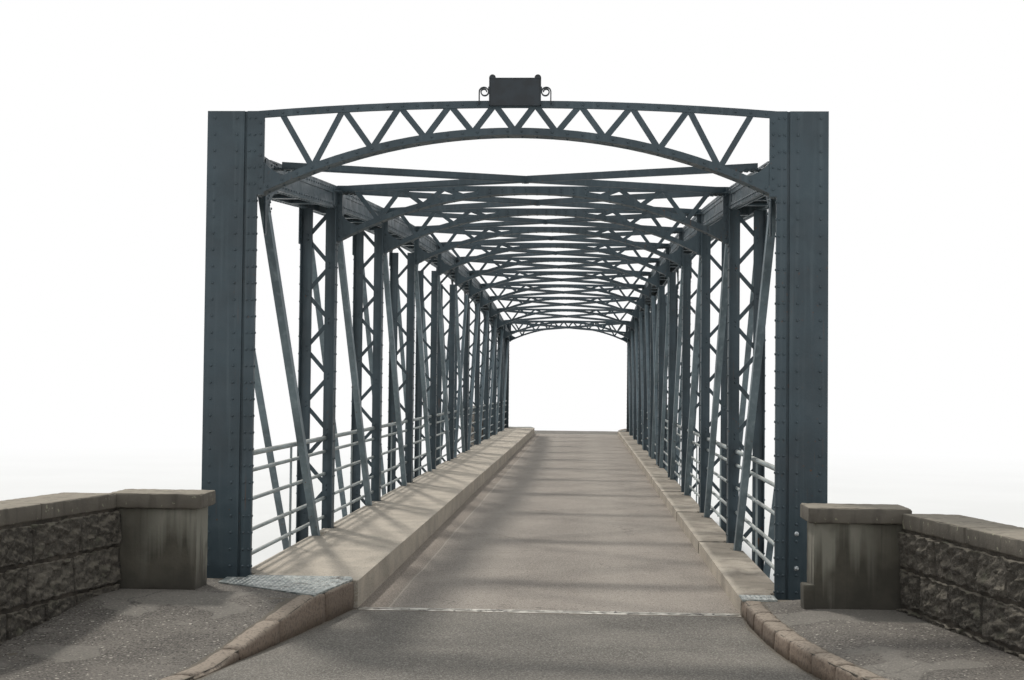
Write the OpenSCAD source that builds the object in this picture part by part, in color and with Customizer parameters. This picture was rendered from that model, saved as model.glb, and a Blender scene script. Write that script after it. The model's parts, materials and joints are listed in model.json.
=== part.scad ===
// Riveted steel through-truss road bridge with curved top chords, on two masonry abutments.
// A model at half the real size. X runs to the right as seen from the near end, Y runs from
// the near end to the far end, and Z is up. The origin is under the middle of the bridge.

/* [Span] */
// Length of one truss bay
panel_l = 1850; // [1500:10:2100]
// Number of bays, odd so that the middle one is crossed
panels = 11; // [9:2:13]
// Clear width between the two trusses
clear_w = 2200; // [1900:5:2600]

/* [Levels] */
// Height of the road surface above the floor
road_z = 1650; // [1300:10:2400]
// Thickness of the roadway slab
slab_t = 90; // [60:1:140]
// Depth of the stringers under the slab
stringer_h = 110; // [80:1:160]
// Depth of the floor beams
floor_beam_h = 250; // [200:1:320]
// Height of a bearing
bearing_h = 90; // [70:1:130]

/* [Trusses] */
// Overall width of a truss member across the bridge
member_w = 200; // [160:2:260]
// Height of the top chord above the road at the end posts
chord_end_z = 1900; // [1700:10:2100]
// Rise of the top chord from its ends to the middle of the span
chord_rise = 400; // [200:10:600]
// Depth of the top chord
chord_h = 125; // [90:1:170]
// Depth of the bottom chord
bottom_chord_h = 150; // [110:1:190]
// Thickness of chord webs, angles and cover plates
chord_t = 8; // [6:0.5:12]
// Width of the chord angles
chord_angle_w = 40; // [30:1:50]
// Width of the tie plates that join the two webs of a chord
tie_w = 90; // [50:5:150]
// Thickness of the gusset plates
gusset_t = 6; // [4:0.5:9]
// Depth of a gusset plate at a post
gusset_h = 330; // [322:1:360]
// Half width of a gusset plate at a post
gusset_half = 60; // [50:1:80]
// Length of a gusset plate beside the post, on its short side
gusset_short = 150; // [130:5:200]
// Length of a gusset plate beside the post, on the side of the diagonal
gusset_long = 260; // [220:5:320]
// Width of a diagonal's web
diagonal_w = 48; // [36:1:64]
// Thickness of a diagonal's web and flange
diagonal_t = 6; // [4:0.5:9]
// Width of a diagonal's flange across the bridge
diagonal_flange = 35; // [28:1:35]
// Distance from a post's centre line to the end of a diagonal
diagonal_end = 50; // [44:1:60]

/* [Laced posts] */
// Width of a post leg across the bridge
leg_w = 62; // [58:1:70]
// Depth of a post leg along the bridge
leg_d = 80; // [60:1:100]
// Thickness of the angles of a post leg
leg_t = 6; // [4:0.5:8]
// Width of the slit between the two angles of a leg
leg_slit = 6; // [4:0.5:8]
// Width of the post's lacing bars
lacing_w = 22; // [16:1:30]
// Thickness of the lacing bars
lacing_t = 6; // [4:0.5:8]
// Rise of one lacing bar
lacing_rise = 155; // [120:5:200]

/* [End posts] */
// Depth of an end post along the bridge
end_post_d = 250; // [200:5:320]
// Height of an end post above the road
end_post_z = 2080; // [2040:10:2300]
// Plate thickness of an end post
end_post_t = 10; // [7:0.5:14]
// Width of the front lip on the outer side
end_post_lip = 15; // [8:1:25]
// Width of the inner strip of an end post
end_post_strip = 43; // [34:1:56]
// Width of the groove beside the inner strip
end_post_groove = 12; // [8:1:18]
// Depth of the inner strip along the bridge
end_post_strip_d = 25; // [22:1:34]
// Reach of the front plate beyond the box of an end post
end_post_flange = 16; // [12:1:22]

/* [Portals and cross frames] */
// Height of the portal arch above the road at the end posts
portal_spring_z = 1720; // [1600:5:1780]
// Height of the portal arch above the road at its crown
portal_crown_z = 1980; // [1940:5:2000]
// Rise of the portal's top member from the posts to the middle
portal_top_rise = 45; // [20:1:80]
// Depth of a cross frame at its ends, from the chord's top to the arch
frame_spring = 315; // [260:5:320]
// Depth of a cross frame at its crown
frame_crown = 40; // [34:1:60]
// Depth of the arch and top bands
band_h = 30; // [22:1:40]
// Thickness of the bands' upright legs
band_web = 14; // [10:1:20]
// Thickness of the bands' lying flanges
band_flange_t = 6; // [4:0.5:8]
// Width of the portal's flanges along the bridge
portal_flange = 90; // [60:5:100]
// Width of a cross frame's flanges along the bridge
frame_flange = 80; // [60:5:86]
// Width of the lattice bars
lattice_w = 25; // [18:1:32]
// Thickness of the lattice bars
lattice_t = 8; // [5:0.5:10]
// Distance from the centre to the first lattice node
node_step = 82.5; // [76:0.5:86]
// Growth of the lattice nodes' spacing towards the posts
node_growth = 3.15; // [2.8:0.05:3.4]
// Radius of the concave corner plates
corner_r = 150; // [100:5:170]

/* [Bracing] */
// Width of the lateral bracing bars
brace_w = 30; // [22:1:40]
// Thickness of the lateral bracing bars
brace_t = 6; // [4:0.5:8]
// Side of the corner plates of the lateral bracing
brace_plate = 95; // [70:5:100]
// Depth of the top bracing under the chord's top
brace_drop = 36; // [30:1:60]

/* [Floor] */
// Width of the floor beams' flanges
floor_flange = 80; // [60:2:90]
// Thickness of the floor beams' plates
floor_plate = 10; // [7:0.5:14]
// Number of stringers
stringers_n = 5; // [4:1:6]
// Width of a stringer's flanges
stringer_w = 60; // [46:1:80]
// Thickness of a stringer's plates
stringer_t = 7; // [5:0.5:10]
// Gap between the deck and the trusses
deck_gap = 10.5; // [6:0.5:16]

/* [Deck] */
// Width of the footway slab
footway_w = 425; // [400:5:560]
// Height of the footway above the road
footway_h = 112; // [80:1:140]
// Width of the footway's edge stone
edge_w = 40; // [30:1:60]
// Width of the kerb blocks
kerb_w = 140; // [110:1:180]
// Height of the kerb above the road
kerb_h = 65; // [50:1:90]
// Gap between two kerb blocks
kerb_gap = 20; // [10:1:40]
// Overhang of the deck beyond the front of the end posts
deck_overhang = 140; // [110:5:170]
// Open joint between the deck and the abutment
joint_gap = 10; // [6:1:16]
// Width of the steel nosings at the open joint
nosing_w = 30; // [20:1:45]
// Thickness of the steel plates at the joint
nosing_t = 8; // [5:0.5:12]

/* [Railings] */
// Heights of the rails above the footway or the kerb
rail_heights = [60, 165, 300, 425, 500];
// Diameter of the rails
rail_d = 18; // [14:1:22]
// Diameter of the top rail
top_rail_d = 24; // [18:1:24]
// Distance of the rails behind the inner face of the posts
rail_inset = 50; // [49:1:52]
// Width of the stanchion in the middle of a bay
stanchion_w = 20; // [14:1:30]
// Thickness of the stanchion
stanchion_t = 8; // [6:0.5:12]

/* [Name board] */
// Width of the bare board
board_w = 220; // [160:2:300]
// Height of the bare board
board_h = 120; // [90:1:160]
// Height of the board's lower edge above the road
board_z = 2100; // [2090:1:2110]
// Thickness of the board
board_t = 12; // [8:1:16]
// Radius of the raised ears on the board's upper corners
ear_r = 14; // [8:1:20]
// Outer radius of a scroll
scroll_r = 22; // [16:1:28]
// Thickness of the scroll's iron
scroll_t = 5; // [4:0.5:6]

/* [Abutments] */
// Length of the abutment behind the open joint
abutment_l = 1900; // [1500:10:2100]
// Reach of the bearing shelf beyond the end post's front, towards the river
shelf_reach = 300; // [280:10:420]
// Height of the bed stones on the shelf
bed_h = 30; // [20:1:60]
// Side of a bed stone
bed_w = 420; // [400:10:480]
// Step of the footway's edge behind the open joint, away from the road
footway_step = 20; // [5:5:80]
// Further flare of the footway's edge towards the abutment's end
footway_flare = 350; // [200:5:420]
// Step of the kerb's edge behind the open joint, away from the road
kerb_step = 10; // [5:1:60]
// Further flare of the kerb's edge towards the abutment's end
kerb_flare = 315; // [150:5:340]
// Distance from the open joint to the top of the ramp on the footway
ramp_start = 500; // [450:10:700]
// Distance from the open joint to the foot of the ramp
ramp_end = 1300; // [1100:10:1400]
// Height of the footway above the road at the foot of the ramp
ramp_h = 12; // [6:1:40]
// Depth of the footway's cover plate at its outer end, behind the open joint
cover_short = 150; // [90:5:165]
// Reach of the cover plate beyond the deck's side, in front of the end post
cover_side = 75; // [40:5:100]
// Depth of the cover plate beside the road
cover_long = 460; // [300:10:480]
// Distance from the end post's front to the pillars
pillar_back = 320; // [260:10:400]
// Distance from the trusses' inner face to the right pillar
pillar_side = 80; // [60:5:160]
// How much farther from the road the left pillar's face stands
pillar_set = 18; // [0:1:40]
// Width of the right pillar across the bridge
pillar_w = 340; // [260:5:420]
// Depth of a pillar along the bridge
pillar_d = 180; // [150:5:280]
// Projection of the guard stone at the foot of a right pillar
guard_w = 38; // [25:1:50]
// Depth of the guard stone along the bridge
guard_d = 90; // [60:5:120]
// Height of the guard stone
guard_h = 110; // [80:2:130]
// Height of the left pillar's cap and coping above the road
left_top = 488; // [420:2:560]
// Height of the right pillar's cap above the road
right_top = 470; // [400:2:540]
// Step from the right pillar's cap down to its coping
coping_drop = 16; // [6:1:40]
// Thickness of the pillar caps and copings
cap_t = 60; // [50:1:90]
// Overhang of a pillar cap
cap_over = 24; // [16:1:40]
// Thickness of the wing parapets
wing_t = 190; // [150:5:240]
// Distance of the wing parapet's inner face inside the pillar's outer face
wing_lap = 10; // [5:5:100]
// Splay of the wing parapets
wing_splay = 11; // [4:0.5:14]
// Overhang of the copings
coping_over = 12; // [8:1:24]
// Depth of the footing course under the abutment
footing_h = 180; // [120:10:300]
// Projection of the footing course
footing_over = 60; // [30:5:100]

/* [Hidden] */

// Small overlap of fused shapes
lap = 1;
// Sides of a circle for large arcs, rails and small rounds
arc_fn = 360;
rail_fn = 24;
round_fn = 48;
// Straight pieces of a flared kerb line, and the powers of the two curves
flare_n = 10;
footway_power = 1.1;
kerb_power = 2.5;

half_member = member_w / 2;
truss_x = (clear_w + member_w) / 2;
gusset_face = half_member + gusset_t;
half_span = panels * panel_l / 2;
span_end = half_span + end_post_d / 2;
frame_half = truss_x - gusset_face;
middle = (panels - 1) / 2;

// Levels measured from the road surface
beam_top = -slab_t - stringer_h;
beam_bottom = beam_top - floor_beam_h;
chord_top = beam_bottom + bottom_chord_h;
seat = beam_bottom - bearing_h;
shelf = seat - bed_h;

deck_half = truss_x - gusset_face - deck_gap;
deck_end = span_end + deck_overhang;
back_wall = deck_end + joint_gap;
abutment_end = back_wall + abutment_l;
footway_inner = deck_half - footway_w - edge_w;
kerb_inner = deck_half - kerb_w;
rail_x = half_member - rail_inset;
strip_back = span_end - end_post_strip_d;
strip_in = half_member - end_post_strip;
box_out = strip_in - end_post_groove - end_post_flange;
slab_out = truss_x - rail_x - stanchion_t;

pillar_in = clear_w / 2 + pillar_side;
pillar_out = pillar_in + pillar_w;
pillar_front = span_end + pillar_back;
pillar_rear = pillar_front + pillar_d;

// For the left and the right side: height of the strip that a pillar stands on, the pillar's
// inner face, and the undersides of its cap and of the coping behind it
SIDES = [[-1, footway_h, pillar_in + pillar_set, left_top - cap_t, left_top - cap_t],
    [1, kerb_h, pillar_in, right_top - cap_t, right_top - coping_drop - cap_t]];

wing_in = pillar_out - wing_lap;
wing_out = wing_in + wing_t;
wing_shift = (abutment_end - pillar_rear) * tan(wing_splay);

steel = "#3c484e";
stone = "#6d655d";
concrete = "#b9b3a8";

// Place of panel point i along the bridge
function point_y(i) = i * panel_l - half_span;
// Height of the top chord's upper edge at panel point i
function chord_z(i) = chord_end_z + chord_rise * (1 - pow(point_y(i) / half_span, 2));
// Direction from a post towards the middle of the span
function inward(i) = i < panels / 2 ? 1 : -1;
// Radius of an arc from its half chord and its rise
function arc_r(half, rise) = (half * half + rise * rise) / (2 * rise);
// Height of an arc above its springing at distance x from the crown
function arc_z(half, rise, x) =
    sqrt(pow(arc_r(half, rise), 2) - x * x) - arc_r(half, rise) + rise;
// Distance of lattice node n from the centre
function node_x(n) = node_step * n + node_growth * n * n;

// An outline in Y and Z, thickened along X from x0 to x1
module plate_yz(x0, x1) {
    translate([x0, 0, 0]) rotate([90, 0, 90]) linear_extrude(x1 - x0) children();
}

// An outline in X and Z, thickened along Y from y0 to y1
module plate_xz(y0, y1) {
    translate([0, y1, 0]) rotate([90, 0, 0]) linear_extrude(y1 - y0) children();
}

// A flat bar from point a to point b, of width w, as an outline
module bar(a, b, w) {
    translate(a) rotate(atan2(b.y - a.y, b.x - a.x)) translate([0, -w / 2]) square([norm(b - a), w]);
}

// The shape in its place and its mirror image across X = 0
module both_sides() {
    children();
    mirror([1, 0, 0]) children();
}

// Moves a truss piece to the left (-1) or right (1) truss at road level
module on_truss(side) {
    translate([side * truss_x, 0, road_z]) mirror([side > 0 ? 1 : 0, 0, 0]) children();
}

// A strip that follows the top chord, from depth d0 to depth d1 under its upper edge, and ends
// at the distance end from the middle of the span
module chord_strip(d0, d1, end = half_span - end_post_d / 2) {
    ends = [-end, for (i = [1 : panels - 1]) point_y(i), end];
    heights = [edge_z(end), for (i = [1 : panels - 1]) chord_z(i), edge_z(end)];
    polygon([
        for (i = [0 : panels]) [ends[i], heights[i] - d0],
        for (i = [panels : -1 : 0]) [ends[i], heights[i] - d1]
    ]);
}

// Height of the chord's upper edge in the end bay, at the distance end from the middle
function edge_z(end) = chord_z(0) + (chord_z(1) - chord_z(0)) * (half_span - end) / panel_l;

module top_chord() {
    color(steel) {
        both_sides() {
            plate_yz(half_member - chord_t, half_member) chord_strip(chord_t - lap / 2, chord_h);
            plate_yz(half_member - chord_angle_w, half_member) chord_strip(chord_h - chord_t, chord_h);
        }
        plate_yz(-gusset_face, gusset_face) chord_strip(0, chord_t);
        intersection() {
            plate_yz(-half_member, half_member) chord_strip(chord_h - chord_t, chord_h);
            for (i = [0 : panels - 1], k = [1 : 3])
                translate([-half_member, point_y(i) + k * panel_l / 4 - tie_w / 2, 0])
                    cube([member_w, tie_w, chord_end_z + chord_rise]);
        }
    }
}

module bottom_chord() {
    end = half_span - end_post_d / 2;
    color(steel) {
        both_sides() {
            translate([half_member - chord_t, -end, beam_bottom])
                cube([chord_t, 2 * end, bottom_chord_h]);
            for (z = [beam_bottom, chord_top - chord_t])
                translate([half_member - chord_angle_w, -end, z])
                    cube([chord_angle_w, 2 * end, chord_t]);
        }
        for (i = [1 : panels - 1])
            tie_plate(point_y(i), 2 * gusset_half);
        for (i = [0 : panels - 1])
            tie_plate(point_y(i) + panel_l / 2, tie_w);
    }
}

// Tie plates on the upper and lower side of a bottom chord
module tie_plate(y, w) {
    for (z = [beam_bottom, chord_top - chord_t])
        translate([lap - half_member, y - w / 2, z]) cube([member_w - 2 * lap, w, chord_t]);
}

// Section of one post leg, its flange on the outside
module leg_section() {
    difference() {
        union() {
            translate([half_member - leg_t, -leg_d / 2]) square([leg_t, leg_d]);
            translate([half_member - leg_w, -leg_t - leg_slit / 2]) square([leg_w, 2 * leg_t + leg_slit]);
        }
        translate([half_member - leg_w + 2 * leg_t, -leg_slit / 2]) square([leg_w, leg_slit]);
    }
}

// A post of two legs joined by zigzag lacing, cut to the underside of the top chord
module laced_post(i) {
    top = chord_z(i) - chord_h;
    reach = half_member - leg_w / 2;
    bars = round((top - chord_top) / lacing_rise);
    rise = (top - chord_top - lacing_w) / bars;
    start = chord_top + lacing_w / 2;
    translate([0, point_y(i), 0]) {
        intersection() {
            translate([0, 0, chord_top]) linear_extrude(chord_h + top - chord_top)
                both_sides() leg_section();
            translate([0, -point_y(i), 0]) plate_yz(-half_member, half_member) under_chord();
        }
        plate_xz(-lacing_t / 2, lacing_t / 2)
            for (k = [0 : bars - 1])
                bar([reach * side_of(k), start + k * rise],
                    [-reach * side_of(k), start + (k + 1) * rise], lacing_w);
        translate([-half_member + leg_t, -leg_t / 2, chord_top])
            cube([member_w - 2 * leg_t, leg_t, tie_w]);
    }
}

// One or minus one for even and odd counts
function side_of(k) = k % 2 == 0 ? 1 : -1;

// The region between the bottom chord and the underside of the top chord
module under_chord(end = half_span - end_post_d / 2) {
    intersection() {
        chord_strip(chord_h, chord_end_z + chord_rise - chord_top, end);
        translate([-end, chord_top]) square([2 * end, chord_end_z + chord_rise]);
    }
}

module posts() {
    color(steel) for (i = [1 : panels - 1]) laced_post(i);
}

// Section of an end post: a box, a front plate that reaches past it, and an angle beside the
// groove, held by a backing plate
module end_post_section() {
    d = end_post_d / 2;
    difference() {
        translate([-half_member, -d]) square([half_member + box_out, end_post_d]);
        translate([end_post_t - half_member, end_post_t - d])
            square([half_member + box_out - 2 * end_post_t, end_post_d - 2 * end_post_t]);
    }
    translate([box_out - lap, -d]) square([end_post_flange + lap, end_post_t]);
    translate([strip_in, -d]) square([end_post_strip, end_post_t]);
    translate([box_out - lap, end_post_t - d - lap]) square([half_member - box_out + lap, end_post_t + lap]);
    translate([half_member - end_post_t, -d]) square([end_post_t, end_post_strip_d]);
    translate([-half_member - end_post_lip, -d]) square([end_post_lip + lap, end_post_t]);
}

// Section of the box that widens an end post where a chord meets it
module joint_section() {
    d = end_post_d / 2;
    translate([half_member - end_post_t, -d + lap]) square([end_post_t, end_post_d - lap]);
    translate([box_out - lap, d - end_post_t]) square([half_member - box_out + lap, end_post_t]);
}

// The near left end post; the others mirror it
module end_post() {
    joint_z = edge_z(half_span - end_post_d / 2);
    color(steel) translate([0, -half_span, 0]) {
        translate([0, 0, beam_bottom]) linear_extrude(end_post_z - beam_bottom) end_post_section();
        translate([0, 0, beam_bottom]) linear_extrude(gusset_h) joint_section();
        translate([0, 0, joint_z - chord_h]) linear_extrude(chord_h) joint_section();
        translate([-half_member, -end_post_d / 2, beam_bottom]) cube([member_w, end_post_d, end_post_t]);
        translate([-half_member, -end_post_d / 2, end_post_z - end_post_t])
            cube([half_member + box_out, end_post_d, end_post_t]);
    }
}

module place_end_post(side, far) {
    translate([side * truss_x, 0, road_z])
        mirror([side > 0 ? 1 : 0, 0, 0]) mirror([0, far, 0]) end_post();
}

// Outline of one gusset: deep at the post, with a concave sweep on the side of the diagonal
module gusset_outline(depth) {
    sweep = gusset_long - gusset_half;
    translate([-gusset_half, -gusset_h]) square([2 * gusset_half, gusset_h]);
    translate([-gusset_short, -depth]) square([gusset_short + gusset_long, depth]);
    difference() {
        translate([gusset_half - lap, -gusset_h]) square([sweep + lap, gusset_h - depth + lap]);
        translate([gusset_long, -depth - sweep]) circle(sweep, $fn = arc_fn);
    }
}

// Gussets on the outer and inner plane of the top chord
module upper_gussets() {
    color(steel) both_sides() {
        for (i = [1 : panels - 1])
            plate_yz(half_member, gusset_face) intersection() {
                translate([point_y(i), chord_z(i)]) mirror([inward(i) > 0 ? 0 : 1, 0])
                    gusset_outline(chord_h);
                chord_strip(chord_t, chord_end_z + chord_rise);
            }
        for (m = [0, 1])
            mirror([0, m, 0]) plate_yz(half_member, gusset_face)
                end_gusset(chord_z(0), 1, -diagonal_end / 2);
    }
}

// The gusset between an end post and a chord, which starts in front of the post's centre line
module end_gusset(z, flip, start) {
    translate([-half_span, z]) mirror([0, flip > 0 ? 0 : 1]) intersection() {
        gusset_outline(flip > 0 ? chord_h : bottom_chord_h);
        translate([-start, -gusset_h]) square([start + gusset_long, gusset_h]);
    }
}

// Gussets on both planes of the bottom chord
module lower_gussets() {
    color(steel) both_sides() {
        for (i = [1 : panels - 1])
            plate_yz(half_member, gusset_face)
                translate([point_y(i), beam_bottom]) mirror([0, 1])
                    mirror([inward(i) > 0 ? 1 : 0, 0]) gusset_outline(bottom_chord_h);
        for (m = [0, 1])
            mirror([0, m, 0]) plate_yz(half_member, gusset_face)
                end_gusset(beam_bottom, -1, gusset_half);
    }
}

// Upper and lower panel point of the diagonal that falls from post a to post b
function diagonal_top(a) = [point_y(a), chord_z(a) - chord_h / 2];
function diagonal_foot(b) = [point_y(b), beam_bottom + bottom_chord_h / 2];
// Unit direction of a diagonal, downwards
function diagonal_way(a, b) =
    (diagonal_foot(b) - diagonal_top(a)) / norm(diagonal_foot(b) - diagonal_top(a));

// Outline of a diagonal's web
module diagonal_outline(a, b) {
    way = diagonal_way(a, b);
    trim = (diagonal_end + diagonal_w / 2 * abs(way.y)) / abs(way.x);
    bar(diagonal_top(a) + way * trim, diagonal_foot(b) - way * trim, diagonal_w);
}

// Outline of a diagonal's flange, on its lower edge
module flange_outline(a, b) {
    way = diagonal_way(a, b);
    down = [way.y, -way.x] * sign(way.x) * (diagonal_w - diagonal_t + lap) / 2;
    trim = (diagonal_end + diagonal_w / 2 * abs(way.y)) / abs(way.x);
    bar(diagonal_top(a) + way * trim + down, diagonal_foot(b) - way * trim + down, diagonal_t);
}

// The angles on one plane of a truss, between its gussets: they fall towards the middle of the
// span, cross in the middle bay and reach to the distance end
module diagonal_plane(end) {
    for (i = [0 : middle], ends = [[i, i + 1], [panels - i, panels - i - 1]]) {
        plate_yz(half_member - diagonal_t, half_member) intersection() {
            diagonal_outline(ends[0], ends[1]);
            under_chord(end);
        }
        plate_yz(half_member - diagonal_flange, half_member) intersection() {
            flange_outline(ends[0], ends[1]);
            under_chord(end);
        }
    }
}

// Pairs of diagonals: the inner ones run in beside the end posts, the outer ones stop behind them
module diagonals() {
    color(steel) {
        diagonal_plane(half_span);
        mirror([1, 0, 0]) diagonal_plane(half_span - end_post_d / 2);
    }
}

// A band along an arc, from its lower edge up by the depth h
module arc_band(half, rise, h) {
    r = arc_r(half, rise);
    intersection() {
        translate([0, rise - r]) difference() {
            circle(r + h, $fn = arc_fn);
            circle(r, $fn = arc_fn);
        }
        translate([-half, -h]) square([2 * half, rise + 3 * h]);
    }
}

// A lattice frame with an arched lower band: its front face lies at Y = 0
module lattice_arch(half, top_end, top_rise, spring, crown, flange, first) {
    rise = crown - spring;
    plate_xz(0, band_web) {
        translate([0, spring]) arc_band(half, rise, band_h);
        top_band(half, top_end, top_rise, band_h);
        for (s = [0, 1]) mirror([s, 0])
            translate([half - band_h, spring + lap]) square([band_h, top_end - spring - lap]);
    }
    plate_xz(0, flange) {
        translate([0, spring]) arc_band(half, rise, band_flange_t);
        top_band(half, top_end, top_rise, band_flange_t);
        for (s = [0, 1]) mirror([s, 0])
            translate([half - band_flange_t, spring + lap])
                square([band_flange_t, top_end - spring - lap]);
    }
    plate_xz((band_web - lattice_t) / 2, (band_web + lattice_t) / 2)
        for (s = [0, 1]) mirror([s, 0]) {
            for (n = [first : 8])
                bar(lattice_node(n, half, top_end, top_rise, spring, rise),
                    lattice_node(n + 1, half, top_end, top_rise, spring, rise), lattice_w);
            corner_plate(half, spring, rise, top_end - band_h);
        }
}

// The upper band of a lattice frame, from its upper edge down by the depth h
module top_band(half, top_end, top_rise, h) {
    if (top_rise > 0)
        translate([0, top_end - h]) arc_band(half, top_rise, h);
    else
        translate([-half, top_end - h]) square([2 * half, h]);
}

// Centre of lattice node n: even ones lie on the arch and odd ones on the upper band
function lattice_node(n, half, top_end, top_rise, spring, rise) =
    n % 2 == 0 ? [node_x(n), spring + arc_z(half, rise, node_x(n)) + band_h / 2]
    : [node_x(n), top_end - band_h / 2 + (top_rise > 0 ? arc_z(half, top_rise, node_x(n)) : 0)];

// A plate with a concave edge between the arch and the post
module corner_plate(half, spring, rise, limit) {
    x = half - corner_r;
    z = spring + arc_z(half, rise, x) + band_h / 2;
    intersection() {
        difference() {
            translate([x, spring + band_h / 2]) square([corner_r, z - spring + corner_r]);
            translate([x, z + corner_r]) circle(corner_r, $fn = arc_fn);
        }
        translate([x, spring]) square([corner_r, limit - spring]);
        translate([0, spring + rise - arc_r(half, rise)]) difference() {
            circle(arc_r(half, rise) + corner_r + band_h, $fn = arc_fn);
            circle(arc_r(half, rise) + lap, $fn = arc_fn);
        }
    }
}

module portal_frame() {
    color(steel) translate([0, -span_end, road_z])
        lattice_arch(clear_w / 2, end_post_z, portal_top_rise, portal_spring_z, portal_crown_z,
            portal_flange, 0);
}

module cross_frames() {
    color(steel) for (i = [1 : panels - 1])
        translate([0, point_y(i) - frame_flange / 2, road_z + chord_z(i)])
            lattice_arch(frame_half, 0, 0, -frame_spring, -frame_crown, frame_flange, 4);
}

// Crossed flat bars with four corner plates in a bay of length l, from y0 to y1
module brace_outline(y0, y1) {
    x = frame_half;
    intersection() {
        union() {
            bar([-x, y0], [x, y1], brace_w);
            bar([-x, y1], [x, y0], brace_w);
            for (sx = [-1, 1], end = [[y0, 1], [y1, -1]])
                polygon([[sx * x, end[0]], [sx * (x - brace_plate), end[0]],
                    [sx * x, end[0] + end[1] * brace_plate]]);
        }
        translate([-x, y0]) square([2 * x, y1 - y0]);
    }
}

module top_bracing() {
    color(steel) for (i = [0 : panels - 1]) {
        rise = chord_z(i + 1) - chord_z(i);
        y0 = i == 0 ? end_post_d / 2 + diagonal_end : diagonal_end;
        y1 = i == panels - 1 ? end_post_d / 2 + diagonal_end : diagonal_end;
        l = norm([panel_l, rise]);
        translate([0, point_y(i), road_z + chord_z(i) - brace_drop])
            rotate([atan2(rise, panel_l), 0, 0])
                linear_extrude(brace_t) brace_outline(y0, l - y1);
    }
}

module bottom_bracing() {
    color(steel) for (i = [0 : panels - 1])
        translate([0, point_y(i), road_z + beam_bottom + chord_t])
            linear_extrude(brace_t) brace_outline(diagonal_end, panel_l - diagonal_end);
}

// Section of a rolled beam, its bottom at zero
module beam_section(w, h, t) {
    translate([-w / 2, 0]) square([w, t]);
    translate([-w / 2, h - t]) square([w, t]);
    translate([-t / 2, 0]) square([t, h]);
}

module floor_beams() {
    color(steel) for (i = [0 : panels])
        translate([0, point_y(i), road_z + beam_bottom])
            plate_yz(-frame_half, frame_half) beam_section(floor_flange, floor_beam_h, floor_plate);
}

module stringers() {
    pitch = 2 * (deck_half - stringer_w) / (stringers_n - 1);
    color(steel) for (k = [0 : stringers_n - 1])
        translate([stringer_w - deck_half + k * pitch, 0, road_z + beam_top])
            plate_xz(-deck_end + deck_overhang / 2, deck_end - deck_overhang / 2)
                beam_section(stringer_w, stringer_h, stringer_t);
}

module roadway_slab() {
    color(concrete) difference() {
        translate([-deck_half, -deck_end, road_z - slab_t]) cube([2 * deck_half, 2 * deck_end, slab_t]);
        for (m = [0, 1]) mirror([0, m, 0])
            translate([-footway_inner, deck_end - nosing_w, road_z - nosing_t])
                cube([footway_inner + kerb_inner, nosing_w + lap, nosing_t + lap]);
    }
}

// The part of a slab of height h in bay i that reaches out to the rails, with slots for the
// diagonals
module outer_slab(i, h) {
    y0 = i == 0 ? deck_gap - strip_back : point_y(i) + deck_gap + leg_d / 2;
    y1 = i == panels - 1 ? strip_back - deck_gap : point_y(i + 1) - deck_gap - leg_d / 2;
    difference() {
        translate([deck_half - lap, y0, road_z]) cube([slab_out - deck_half + lap, y1 - y0, h]);
        if (i <= middle) diagonal_slot(i, i + 1, h);
        if (i >= middle) diagonal_slot(i + 1, i, h);
    }
}

// The slot that a slab of height h leaves for the diagonal from post a to post b
module diagonal_slot(a, b, h) {
    way = diagonal_way(a, b);
    foot = diagonal_foot(b);
    half = deck_gap - diagonal_w / 2 / way.y;
    reach = [for (z = [0, h]) foot.x + way.x / way.y * (z - foot.y)];
    translate([deck_half, min(reach) - half, road_z - lap])
        cube([slab_out - deck_half + lap, abs(reach[1] - reach[0]) + 2 * half, h + 2 * lap]);
}

module footway_slab() {
    color(concrete) {
        translate([-deck_half, -deck_end, road_z]) cube([footway_w, 2 * deck_end, footway_h]);
        mirror([1, 0, 0]) for (i = [0 : panels - 1]) outer_slab(i, footway_h);
    }
}

module footway_edge() {
    color(concrete) translate([-footway_inner - edge_w, -deck_end, road_z])
        cube([edge_w, 2 * deck_end, footway_h]);
}

// One kerb block for each bay, longer at both ends of the deck
module kerb_blocks() {
    color(concrete) for (i = [0 : panels - 1]) {
        y0 = i == 0 ? -deck_end : point_y(i) + kerb_gap / 2;
        y1 = i == panels - 1 ? deck_end : point_y(i + 1) - kerb_gap / 2;
        translate([kerb_inner, y0, road_z]) cube([kerb_w, y1 - y0, kerb_h]);
        outer_slab(i, kerb_h);
    }
}

// The rails of every bay between the posts, with a stanchion that stands on the bottom chord
module railing(base) {
    stem = leg_t + leg_slit / 2;
    top = base + rail_heights[len(rail_heights) - 1];
    color(steel) for (i = [0 : panels - 1]) {
        y0 = i == 0 ? 2 * end_post_t - span_end : point_y(i) + stem;
        y1 = i == panels - 1 ? span_end - 2 * end_post_t : point_y(i + 1) - stem;
        for (k = [0 : len(rail_heights) - 1])
            translate([rail_x, y0, base + rail_heights[k]]) rotate([-90, 0, 0])
                cylinder(y1 - y0, d = k == len(rail_heights) - 1 ? top_rail_d : rail_d, $fn = rail_fn);
        translate([rail_x - stanchion_t / 2, point_y(i) + (panel_l - stanchion_w) / 2, chord_top])
            cube([stanchion_t, stanchion_w, top - chord_top]);
    }
}

// One half of a ring with the outer radius r
module half_ring(r) {
    intersection() {
        difference() {
            circle(r, $fn = round_fn);
            circle(r - scroll_t, $fn = round_fn);
        }
        translate([-r, 0]) square([2 * r, r]);
    }
}

// A wrought scroll of half rings with a tail that stands on the portal
module scroll(drop) {
    step = scroll_t * 0.75;
    half_ring(scroll_r);
    translate([-step, 0]) mirror([0, 1]) half_ring(scroll_r - step);
    half_ring(scroll_r - 2 * step);
    translate([scroll_r - scroll_t, -drop]) square([scroll_t, drop + lap]);
    translate([-scroll_r - lap, 0]) square([scroll_t, scroll_r]);
}

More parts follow.
